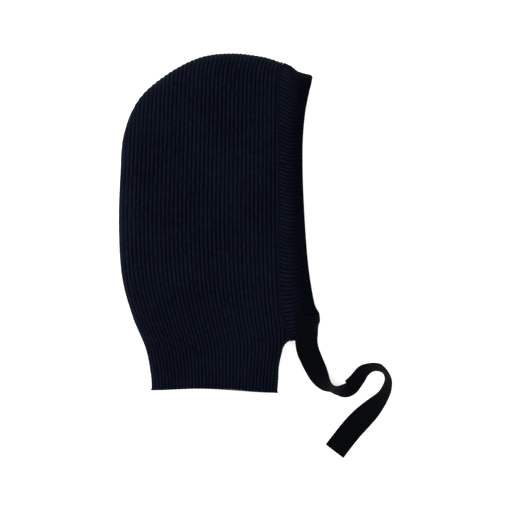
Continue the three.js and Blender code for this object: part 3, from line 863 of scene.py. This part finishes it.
# %% The band's plain surface
turn = BAND_TURNS[:, None]
seam_to_edge = free_edge[:, 0].mean() - band_start[:, 0].mean()
reach = 1 - BAND_THICK / 2 / seam_to_edge  # where the fold of the free edge begins
across = np.linspace(0, reach, ACROSS_OUT)[None, :]
plan = band_plan(across, along_of(turn))
base = raised(plan, turn)
around = np.roll(base, -1, axis=0) - np.roll(base, 1, axis=0)
outward = unit(np.cross(around, np.gradient(base, axis=1)))
to_edge = unit(np.gradient(base, axis=1))[:, -1:]
fold_away = from_closed_edge(plan[..., 0], plan[..., 1])
thick = mix(FOLD_THIN, BAND_THICK, ease(0, FOLD_RUN, fold_away))[..., None]
print(f"band: {seam_to_edge / MM:.0f} mm from seam to edge")

# %% Ribs, fold and inside of the band
def press(points):
    """Share of the ribs left: little inside the sewn ribbon's rectangle, all of it further off."""
    low, high = PATCH_LOW[:2], PATCH_HIGH[:2]
    out = np.maximum(0, np.maximum(low - points[..., :2], points[..., :2] - high))
    return mix(TIE_PRESS, 1, ease(0, PRESS_REACH, np.hypot(out[..., 0], out[..., 1])))


band_ribs = np.arange(len(BAND_TURNS))[:, None] / RIB_POINTS * np.ones_like(across)
band_courses = across * seam_to_edge / COURSE * np.ones_like(turn)
fade = mix(1, EDGE_RELIEF, ease(EDGE_FROM, EDGE_TO, across)) * press(base)
ground = np.where(turn < 1, UPPER_GROUND, LOWER_GROUND)
relief = ((rib(band_ribs, band_courses) + ground) * BAND_RELIEF * fade)[..., None]
outside = base + outward * relief
last, last_out, last_thick = base[:, -1:], outward[:, -1:], thick[:, -1:]
phi = np.linspace(0, math.pi, ROUND_STEPS + 2)[None, 1:-1, None]
end_relief = relief[:, -1:] * np.cos(phi / 2) ** 2
outline = band_plan(np.ones_like(turn), along_of(turn))
to_outline = np.linalg.norm(outline - plan[:, -1:], axis=-1)[..., None]
fold = (last + to_edge * to_outline * np.sin(phi)
        - last_out * (last_thick / 2 * (1 - np.cos(phi)) - end_relief * np.cos(phi)))
pick = np.linspace(ACROSS_OUT - 1, 0, ACROSS_IN).astype(int)
inside = (base - outward * (thick + INSIDE_RELIEF * relief))[:, pick]
sections = np.concatenate([outside, fold, inside], axis=1)
columns = sections.shape[1]
share = np.concatenate([across[0], np.full(ROUND_STEPS, reach), across[0][pick]])
uv = np.stack(np.broadcast_arrays(band_ribs[:, :1], share[None, :] * seam_to_edge / COURSE), axis=-1)
quads = grid_quads(len(BAND_TURNS), columns, wrap_rows=True, wrap_columns=True, flip=True)
# the first colour is the painted shade of the valleys, the second the painted lit colour of the ridges
BAND_KNIT = knit_material("band_knit", (0.0003, 0.0006, 0.0019), (0.0058, 0.0078, 0.0182), BAND_FADES)
surface = (sections.reshape(-1, 3), quads, ())
make_piece("face_band_knit", surface, BAND_KNIT, ["face_band"], uv.reshape(-1, 2))

# %% [markdown]
# ## Linked seams
#
# Knitted pieces are joined on a linking machine, which works a chain of loops through both edges.
# Every link of a chain is one small round loop of yarn, a few dozen faces, that starts under the
# one before it. The links lie on a soft core of yarn, which is the edge of the cloth that the seam
# has gathered in. The same two functions make the seam of the band and those of the crown, the
# back and the neck. The cast-off edge at the neck opening is a chain alone.

# %% Chains of loops
LINK_PITCH = 3.6 * MM
LINK_AROUND, YARN_AROUND = 10, 5  # points round a link, and round its yarn
CORE_AROUND = 8


def chain(points, ways, outs, wide, yarn):
    """Loops along a line. In a loop, the middle of the yarn goes along by cos, across by sin, a
    little narrower at its far end, and rises by cos, so that its far end lies on the next one."""
    turns = np.arange(LINK_AROUND) / LINK_AROUND * 2 * math.pi
    cos, sin = np.cos(turns)[None, :, None], np.sin(turns)[None, :, None]
    ways, outs = ways[:, None], outs[:, None]
    sides = np.cross(outs, ways)
    path = (points[:, None] + ways * cos * LINK_PITCH * 0.6
            + sides * sin * (wide - yarn) / 2 * (1 - 0.35 * cos) + outs * yarn * 0.35 * cos)
    going = unit(np.roll(path, -1, axis=1) - np.roll(path, 1, axis=1))
    away = unit(np.cross(going, np.broadcast_to(outs, going.shape)))
    around = (np.arange(YARN_AROUND) / YARN_AROUND * 2 * math.pi)[:, None]
    lift = np.cross(away, going)[:, :, None]
    loops = path[:, :, None] + yarn / 2 * (away[:, :, None] * np.cos(around) + lift * np.sin(around))
    one = grid_quads(LINK_AROUND, YARN_AROUND, wrap_rows=True, wrap_columns=True, flip=True)
    firsts = np.arange(len(points))[:, None, None] * LINK_AROUND * YARN_AROUND
    return loops.reshape(-1, 3), (one[None] + firsts).reshape(-1, 4), np.empty((0, 3), int)


def core(points, outs, wide, deep, closed):
    """An oval cord along a line, wide across it and deep into the cloth."""
    if closed:
        ways = np.roll(points, -1, axis=0) - np.roll(points, 1, axis=0)
    else:
        ways = np.gradient(points, axis=0)
    sides = unit(np.cross(outs, ways))
    around = (np.arange(CORE_AROUND) / CORE_AROUND * 2 * math.pi)[:, None]
    sections = (points[:, None] + sides[:, None] * np.cos(around) * wide / 2
                + outs[:, None] * np.sin(around) * deep / 2)
    if not closed:
        return swept(sections)
    quads = grid_quads(len(points), CORE_AROUND, wrap_rows=True, wrap_columns=True)
    return sections.reshape(-1, 3), quads, np.empty((0, 3), int)


def seam_piece(name, parts, replaces=()):
    """One object from a chain and the core under it, if it has one."""
    make_piece(name, many(parts), LINKING_YARN, replaces)

# %% Linking yarn finish
def yarn_material():
    """Plied yarn: slanted plies from a wave on Object coordinates, under the shared fuzz. The wave is a
    bump and also painted shade, darker in the grooves between the plies; the fuzz is a random tone.
    """
    material, tree, shader = new_material("linking_yarn", 0.95, 0.03, 0.02, (0.6, 0.66, 1.0))
    place = node(tree, "TexCoord").outputs["Object"]
    yarn = use_group(tree, yarn_group, Place=place, Fuzz_Scale=1800.0)
    slanted = {"bands_direction": "DIAGONAL"}
    ply = node(tree, "TexWave", slanted, Vector=place, Scale=420.0, Distortion=1.0)
    shade = calc(tree, "MULTIPLY_ADD", yarn["Fuzz"], 0.5, calc(tree, "MULTIPLY", ply.outputs[1], 0.5))
    height = calc(tree, "MULTIPLY_ADD", yarn["Fuzz"], 0.4, calc(tree, "MULTIPLY", ply.outputs[1], 0.6))
    # painted shade between the plies, mixed with the yarn's random fuzz tone
    colour = blend_colours(tree, shade, (0.0012, 0.0018, 0.0044), (0.0065, 0.0084, 0.0180))
    rough_surface(tree, shader, colour, height, 0.0003)
    return material


LINKING_YARN = yarn_material()
print("finish:", LINKING_YARN.name)

# %% Seam between band and panels
BAND_CHAIN_WIDE, BAND_CHAIN_YARN = 2.6 * MM, 0.95 * MM
CORE_SUNK = 1.3 * MM  # the core lies this deep under the CAD surface
CORE_WIDE, CORE_DEEP = 3.6 * MM, 2.4 * MM
CHIN_RISE, BROW_RISE = 0.9 * MM, -1.0 * MM  # how far it rises where it turns round each fold
FOLD_REACH = 7 * MM  # and how far from the fold that ends
CHAIN_RISE = 0.7  # share of the same rise that the chain has
UPPER_LIFT, LOWER_LIFT = 0.15 * MM, -0.55 * MM  # the chain above the CAD surface on each layer
BESIDE = 0.5 * MM  # the normal is measured this far beside the line


def ring_of(line, per_pitch):
    """Points round a ring over a line of the outline, their directions and outward normals."""
    def plan_at(along):
        return at(line, along)
    turns, count = even_turns(plan_at, LINK_PITCH, per_pitch)
    points = raised(plan_at(along_of(turns)), turns)
    ways = unit(np.roll(points, -1, axis=0) - np.roll(points, 1, axis=0))
    beside = plan_at(along_of(turns)) + at(left_of(line), along_of(turns)) * BESIDE
    return points, ways, unit(np.cross(ways, raised(beside, turns) - points))


points, ways, outs = ring_of(seam, 3)
fold = 1 - ease(0, FOLD_REACH, from_closed_edge(points[:, 0], points[:, 1]))
rise = np.where(points[:, 1] < 0, CHIN_RISE, BROW_RISE) * fold
sunk = core(points - outs * (CORE_SUNK - rise)[:, None], outs, CORE_WIDE, CORE_DEEP, closed=True)
lift = np.where(np.arange(len(points)) < len(points) / 2, UPPER_LIFT, LOWER_LIFT) + CHAIN_RISE * rise
starts = (points + outs * lift[:, None])[::3]
links = chain(starts, ways[::3], outs[::3], BAND_CHAIN_WIDE, BAND_CHAIN_YARN)
seam_piece("face_band_linking", [sunk, links], ["face_band_seam"])

# %% Seams of the crown, the back and the neck
EDGE_CHAIN_WIDE, EDGE_CHAIN_YARN = 2.3 * MM, 0.8 * MM
EDGE_CORE_WIDE, EDGE_CORE_DEEP = 2.5 * MM, 2.4 * MM
EDGE_SUNK = 1.7 * MM  # the core's middle, in from the outline
EDGE_CHAIN_IN = 1.3 * MM  # the chain's middle, in from the outline


def edge_seam(name, node_name, plan, out_sign):
    """A core and a chain along a closed edge, facing out of the hood in plan."""
    length = np.linalg.norm(np.diff(plan, axis=0), axis=1).sum()
    out = left_of(plan) * out_sign
    both = np.column_stack([plan, np.full(len(plan), EDGE_HIGH), out])
    both = evenly(both, 2 * round(length / LINK_PITCH) + 1)
    points, outs = both[:, :3], unit(np.column_stack([both[:, 3:], np.zeros(len(both))]))
    ways = unit(np.gradient(points, axis=0))
    inner = core(points - outs * EDGE_SUNK, outs, EDGE_CORE_WIDE, EDGE_CORE_DEEP, closed=False)
    links = chain((points - outs * EDGE_CHAIN_IN)[1:-2:2], ways[1:-2:2], outs[1:-2:2],
                  EDGE_CHAIN_WIDE, EDGE_CHAIN_YARN)
    seam_piece(name, [inner, links], [node_name])


edge_seam("crown_back_linking", "crown_and_back_seam", back, 1)
edge_seam("neck_linking", "neck_front_seam", neck_front, -1)

# %% Cast-off edge round the neck opening
CAST_OFF_IN = 1.1 * MM  # the loops' middle, in from the hem line
CAST_OFF_WIDE, CAST_OFF_YARN = 2.6 * MM, 0.9 * MM
points, ways, _ = ring_of(hem, 1)
side = np.where(np.arange(len(points)) < len(points) / 2, 1.0, -1.0)[:, None]
outs = np.tile([0.0, -1.0, 0.0], (len(points), 1))
down = np.array([0, 0, 1.0]) * side * PANEL_THICK / 2
near_edge = ease(0, EDGE_FADE, from_closed_edge(points[:, 0], points[:, 1]))[:, None]
points = points - down * near_edge - outs * CAST_OFF_IN
links = chain(points, ways, outs, CAST_OFF_WIDE, CAST_OFF_YARN)
seam_piece("neck_cast_off", [links])

# %% [markdown]
# ## The ribbon
#
# Grosgrain ribbon has fine warp threads wrapped over thick weft ones, so cross ribs about a
# millimetre apart run from edge to edge, and the edge itself is a row of tiny scallops where the
# weft turns back. Each row of the mesh is one closed loop round the ribbon, and its width and
# thickness swell with each cross rib.

# %% Grosgrain ribbon
CROSS_RIB = 1.15 * MM  # from one cross rib to the next
RIB_SWELL = 0.11 * MM  # how far a cross rib stands proud of the groove beside it
SCALLOP = 0.16 * MM
LOOP_HALF = 11  # points across one face
HEM_LONG = 14 * MM
HEM_LIFT = 0.80 * MM  # from the middle of the turned-under layer to the middle of the one above it
ROWS_PER_RIB = 6


def ribbon_section():
    """Width and height round one loop of a ribbon, from -1 to 1: the cosine of the angle to the
    power 0.75, so that its edges are round, and the sine to the power 0.35. Signs are kept."""
    angles = (np.arange(2 * LOOP_HALF) + 0.5) / (2 * LOOP_HALF) * 2 * math.pi
    cos, sin = np.cos(angles), np.sin(angles)
    return np.sign(cos) * abs(cos) ** 0.75, np.sign(sin) * abs(sin) ** 0.35


def in_groove(along):
    """How deep in the groove between two cross ribs each row is, from 0 to 1: half of 1 less the
    cosine of the length along."""
    return 1 - (0.5 + 0.5 * np.cos(2 * math.pi * along / CROSS_RIB))[:, None]


def ribbon_loops(middle, wide, face, along):
    """Closed loops round a free ribbon, one for each row, from its frames."""
    out, up = ribbon_section()
    half_wide = TIE_WIDE / 2 - SCALLOP * in_groove(along)
    half_high = TIE_THICK / 2 - RIB_SWELL * in_groove(along)
    return (middle[:, None] + wide[:, None] * (half_wide * out)[..., None]
            + face[:, None] * (half_high * up)[..., None])


def ribbon_piece(name, loops, along, body, replaces):
    """A ribbon from its closed loops. Its UV is the width and the length, in cross ribs."""
    angles = (np.arange(2 * LOOP_HALF) + 0.5) / (2 * LOOP_HALF) * 2 * math.pi
    width = np.cos(angles) * TIE_WIDE / 2 / CROSS_RIB
    length, width = np.broadcast_arrays(along[:, None] / CROSS_RIB, width)
    uv = np.stack([width, length], axis=-1).reshape(-1, 2)
    return make_piece(name, swept(loops), GROSGRAIN, replaces, uv, body)


print("cross ribs:", round(tie_length / CROSS_RIB))

# %% Ribbon finish
def grosgrain_material():
    """Black ribbon: warp threads across each cross rib, with shade painted into its colour in the
    grooves between cross ribs and between the warp threads, and a faint shine on the crown of the rib."""
    material, tree, shader = new_material("grosgrain", 0.6, 0.03, 0.0, (0.8, 0.85, 1.0))
    cloth = node(tree, "SeparateXYZ", None, Vector=node(tree, "UVMap", {"uv_map": "cloth"}).outputs[0])
    place = node(tree, "TexCoord").outputs["Object"]
    yarn = use_group(tree, yarn_group, Place=place, Fuzz_Scale=2200.0)
    crown = calc(tree, "PINGPONG", cloth.outputs[1], 0.5)
    crown = between(tree, crown, 0.45, 0.05)
    warp = calc(tree, "SINE", calc(tree, "MULTIPLY", cloth.outputs[0], 26.0))
    thread = calc(tree, "MULTIPLY_ADD", warp, 0.5, 0.5)
    # painted shade: darker in the groove between cross ribs and between warp threads
    shade = calc(tree, "MULTIPLY", crown, calc(tree, "MULTIPLY_ADD", thread, 0.4, 0.6))
    shade = calc(tree, "MULTIPLY_ADD", yarn["Fuzz"], 0.2, calc(tree, "MULTIPLY", shade, 0.8))
    join(tree, shader.inputs["Roughness"], between(tree, crown, 0.0, 1.0, 0.9, 0.62))
    height = calc(tree, "MULTIPLY_ADD", thread, 0.35, calc(tree, "MULTIPLY", yarn["Fuzz"], 0.3))
    colour = blend_colours(tree, shade, (0.0004, 0.0005, 0.0011), (0.0020, 0.0026, 0.0044))
    rough_surface(tree, shader, colour, height, 0.00012)
    return material


GROSGRAIN = grosgrain_material()
print("finish:", GROSGRAIN.name)

# %% [markdown]
# ## Sewing
#
# A sewing thread shows as a row of short arches that dip into the cloth at both ends. Each is a
# small tapering tube, and all the stitches of a line are made at once, as one array.

# %% Stitches
THREAD = 0.42 * MM
STITCH_LONG, STITCH_STEP = 2.1 * MM, 2.7 * MM
STITCH_ROWS, STITCH_AROUND = 7, 6


def stitches(starts, ends, outs):
    """Arched tubes from starts to ends. Their height is 1 - x^2 and their thickness the square
    root of that, kept above a fifth, for x from -1 to 1 along the stitch."""
    x = np.linspace(-1, 1, STITCH_ROWS)[None, :, None]
    middle = mix(starts[:, None], ends[:, None], (x + 1) / 2)
    path = middle + outs[:, None] * THREAD * (0.75 * (1 - x**2) - 0.25)
    sides = unit(np.cross(outs, ends - starts))[:, None, None]
    around = (np.arange(STITCH_AROUND) / STITCH_AROUND * 2 * math.pi)[:, None]
    thick = (THREAD / 2 * np.maximum(0.2, np.sqrt(1 - x**2)))[:, :, None]
    tubes = path[:, :, None] + thick * (sides * np.cos(around) + outs[:, None, None] * np.sin(around))
    _, quads, caps = swept(tubes[0])
    firsts = np.arange(len(starts))[:, None, None] * STITCH_ROWS * STITCH_AROUND
    quads, caps = (quads[None] + firsts).reshape(-1, 4), (caps[None] + firsts).reshape(-1, 3)
    return tubes.reshape(-1, 3), quads, caps

# %% Lines of stitches
def stitch_line(corners, lift_at):
    """Stitches along straight lines between corners in plan, put on a surface by lift_at, which
    gives the place and the outward normal of each point."""
    starts, ends = [], []
    for start, end in zip(corners[:-1], corners[1:]):
        count = max(2, round(np.linalg.norm(end - start) / STITCH_STEP))
        share = (np.arange(count) / count)[:, None]
        gap = (1 - STITCH_LONG / STITCH_STEP) / 2 / count
        starts.append(mix(start, end, share + gap))
        ends.append(mix(start, end, share + 1 / count - gap))
    (start_at, outs), (end_at, _) = lift_at(np.vstack(starts)), lift_at(np.vstack(ends))
    return stitches(start_at, end_at, outs)

# %% Thread finish
def thread_material():
    """Black sewing thread with a slight shine, and its twist as a fine slanted wave, which is a bump and
    also painted shade, darker in the grooves of the twist.
    """
    material, tree, shader = new_material("sewing_thread", 0.6, 0.06)
    place = node(tree, "TexCoord").outputs["Object"]
    yarn = use_group(tree, yarn_group, Place=place, Fuzz_Scale=2600.0)
    twist = node(tree, "TexWave", {"bands_direction": "DIAGONAL"}, Vector=place, Scale=900.0)
    shade = calc(tree, "MULTIPLY_ADD", yarn["Fuzz"], 0.3, calc(tree, "MULTIPLY", twist.outputs[1], 0.7))
    # painted shade in the grooves of the twist, mixed with the thread's random fuzz tone
    colour = blend_colours(tree, shade, (0.0005, 0.0006, 0.0012), (0.0026, 0.0032, 0.0052))
    rough_surface(tree, shader, colour, shade, 0.0001)
    return material


SEWING_THREAD = thread_material()
print("stitches:", round(STITCH_LONG / MM, 1), "mm long")

# %% [markdown]
# ## The sewn ends of the ties
#
# Each ribbon starts as a short end sewn flat on the band, on both sides of the chin. It follows
# the round cloth under it, so its loops are put on the band's own heights and its thickness goes
# along the normal there. A box of stitches goes through it, as a hand machine would sew it.

# %% The sewn ends
SEWN_LIFT = 0.8 * MM + TIE_THICK / 2  # the ribbon's middle above the band's plain surface
STITCH_INSET = 3.2 * MM  # from the ribbon's edge to the stitches
SLOPE_STEP = 0.5 * MM  # slopes are measured this far to each side
SEWN_ON = 0.9 * MM  # it runs on this far past its sewing, to the start of the free length


def on_layer(heights, side, lift):
    """A function that puts plan points on a layer of the hood, lifted off it along its normal."""
    def put_on(plan):
        x, y = plan[:, 0], plan[:, 1]
        h = SLOPE_STEP
        slope_x = (heights(x + h, y) - heights(x - h, y)) / (2 * h)
        slope_y = (heights(x, y + h) - heights(x, y - h)) / (2 * h)
        out = unit(np.column_stack([-slope_x, -slope_y, np.ones_like(x)])) * side
        return np.column_stack([x, y, heights(x, y)]) + out * lift, out
    return put_on


def band_row(put_on, middle_x, ys, half_wide, along, side=1):
    """Closed loops of a ribbon that lies on the band, one at each y. Across, a loop goes like a
    free ribbon's, but it follows the surface under it, and its thickness is along the normal."""
    out, up = ribbon_section()
    x = middle_x + side * (half_wide - SCALLOP * in_groove(along)) * out
    x, y = np.broadcast_arrays(x, ys[:, None])
    place, normal = put_on(np.column_stack([x.ravel(), y.ravel()]))
    thick_up = ((TIE_THICK / 2 - RIB_SWELL * in_groove(along)) * up).reshape(-1, 1)
    return (place + normal * thick_up).reshape(len(ys), 2 * LOOP_HALF, 3)


def sewn_end(name, heights, side):
    """A short length of ribbon that follows the band, from its top to where the free length
    starts, and the box of stitches that holds it."""
    low, high = (np.array(corner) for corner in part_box(f"{name}_sewn_end"))
    top, bottom = high[1], low[1] - SEWN_ON
    ys = np.linspace(top, bottom, round((top - bottom) / CROSS_RIB) * ROWS_PER_RIB)
    middle_x, half_wide = (low[0] + high[0]) / 2, (high[0] - low[0]) / 2
    loops = band_row(on_layer(heights, side, SEWN_LIFT), middle_x, ys, half_wide, top - ys, side)
    ribbon_piece(f"{name}_end_ribbon", loops, top - ys, "hood", [f"{name}_sewn_end"])
    left, right = low[0] + STITCH_INSET, high[0] - STITCH_INSET
    up_y, down_y = top - 0.8 * STITCH_INSET, low[1] + 0.8 * STITCH_INSET
    box = np.array([[left, up_y], [right, up_y], [right, down_y], [left, down_y], [left, up_y]])
    threads = stitch_line(box, on_layer(heights, side, SEWN_LIFT + TIE_THICK / 2))
    make_piece(f"{name}_stitching", threads, SEWING_THREAD, [f"{name}_sewing"])


sewn_end("right_tie", upper, 1)
sewn_end("left_tie", lower, -1)

# %% [markdown]
# ## The free length of the tie
#
# At its root the ribbon has the round shape of the band that it leaves, and it flattens out over
# its first stretch. At its free end it turns under in a tight U and runs back for a hem, which a
# line of sewing holds.

# %% The line of the free tie
ROOT_SETTLE = 24 * MM  # the band's round shape dies away over this length
HEM_CLIMB = 7 * MM  # it climbs on to its hem over this one
U_STEPS = 12  # points round the tight U, with both ends
rows = round(tie_length / CROSS_RIB) * ROWS_PER_RIB
middle, way, wide, face = tie_frames(rows)
along = np.linspace(0, tie_length, rows)
climb = ease(tie_length - HEM_LONG - HEM_CLIMB, tie_length - HEM_LONG, along)[:, None]
under = np.sign(face[-1, 2])  # 1 where the ribbon's face looks up at its end
middle = middle + face * under * HEM_LIFT * climb
angles = np.linspace(0, math.pi, U_STEPS)[1:-1, None]
u_middle = (middle[-1] + under * face[-1] * HEM_LIFT / 2 * (np.cos(angles) - 1)
            + way[-1] * HEM_LIFT / 2 * np.sin(angles))
u_face = face[-1] * np.cos(angles) + under * way[-1] * np.sin(angles)
hem_rows = round(HEM_LONG / CROSS_RIB) * ROWS_PER_RIB
back_rows = slice(rows - 1, rows - 1 - hem_rows, -1)
hem_middle = middle[back_rows] - under * face[back_rows] * HEM_LIFT
all_middle = np.vstack([middle, u_middle, hem_middle])
all_wide = np.vstack([wide, np.tile(wide[-1], (len(u_middle), 1)), wide[back_rows]])
all_face = np.vstack([face, u_face, -face[back_rows]])
step = np.linalg.norm(np.diff(all_middle, axis=0), axis=1)
all_along = np.concatenate([[0], np.cumsum(step)])
print("turned under:", round(HEM_LONG / MM), "mm")

# %% The free tie
loops = ribbon_loops(all_middle, all_wide, all_face, all_along)
root_row = band_row(on_layer(upper, 1, SEWN_LIFT), root[0], hinge[1:2], TIE_WIDE / 2, all_along[:1])
settled = 1 - ease(0, ROOT_SETTLE, all_along)
loops = loops + (root_row - loops[0]) * settled[:, None, None]
right_tie = ribbon_piece("right_tie_ribbon", loops, all_along, None, ["right_tie"])
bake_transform(right_tie)

# %% The tie's hem sewing
hem_at = rows - 1 - hem_rows + ROWS_PER_RIB
half_line = TIE_WIDE / 2 - 1.5 * MM
count = round(2 * half_line / STITCH_STEP)
first_ends = np.linspace(-half_line, half_line, count + 1)[:-1, None] + (STITCH_STEP - STITCH_LONG) / 2
top_out = face[hem_at] * under
line_at = middle[hem_at] + top_out * TIE_THICK / 2
starts = line_at + wide[hem_at] * first_ends
ends = line_at + wide[hem_at] * (first_ends + STITCH_LONG)
threads = stitches(starts, ends, np.tile(top_out, (count, 1)))
hem_sewing = make_piece("right_tie_hem_stitching", threads, SEWING_THREAD,
                        ["right_tie_hem_thread"], body="right_tie")

# %% [markdown]
# ## The care label
#
# A blank satin label, folded in two, is caught in the back seam and lies on the inside of the left
# side. Satin floats its threads along one face, so it is smooth and shines in one direction.

# %% Care label
LABEL_LONG, LABEL_WIDE, LABEL_THICK = 30 * MM, 22 * MM, 0.8 * MM
LABEL_FOOT = 0.1  # share of the back outline at its middle
LABEL_DROP = 12 * MM  # it comes down from the seam over this length
LABEL_CLEAR = 0.3 * MM  # above the cloth under it
LABEL_BOW = 0.5 * MM
LABEL_ROWS, LABEL_AROUND = 40, 20


def label_loops():
    """Rows from the seam to the fold, each a closed loop round the two layers: across by the
    cosine of the angle to the power 0.7, and up by the sine to the power 0.3."""
    foot = at(back, LABEL_FOOT)
    inward = -at(left_of(back), LABEL_FOOT)
    along = np.array([-inward[1], inward[0]])
    out = np.linspace(0, LABEL_LONG, LABEL_ROWS)
    low = PANEL_THICK + LABEL_CLEAR + LABEL_THICK / 2
    z = mix(EDGE_HIGH, low, ease(0, LABEL_DROP, out)) + LABEL_BOW * np.sin(out / LABEL_LONG * math.pi)
    middle = np.column_stack([foot + inward * (PANEL_THICK + out[:, None]), z])
    angles = (np.arange(LABEL_AROUND) + 0.5) / LABEL_AROUND * 2 * math.pi
    cos, sin = np.cos(angles), np.sin(angles)
    wide = LABEL_WIDE / 2 * np.sign(cos) * abs(cos) ** 0.7
    tall = LABEL_THICK / 2 * np.sign(sin) * abs(sin) ** 0.3
    loops = middle[:, None] + np.append(along, 0) * wide[:, None]
    loops[:, :, 2] += tall
    return loops

# %% Satin finish
def satin_material():
    """White satin: long fine threads as a stretched noise, with a little gloss."""
    material, tree, shader = new_material("label_satin", 0.38, 0.5)
    place = node(tree, "TexCoord").outputs["Object"]
    stretched = node(tree, "Mapping", None, Vector=place, Scale=(4.0, 90.0, 4.0)).outputs[0]
    thread = noise(tree, stretched, 30.0, 3.0)
    colour = blend_colours(tree, thread, (0.50, 0.49, 0.46), (0.72, 0.71, 0.68))
    rough_surface(tree, shader, colour, thread, 0.0001)
    return material


make_piece("care_label_satin", swept(label_loops()), satin_material(), ["care_label"])
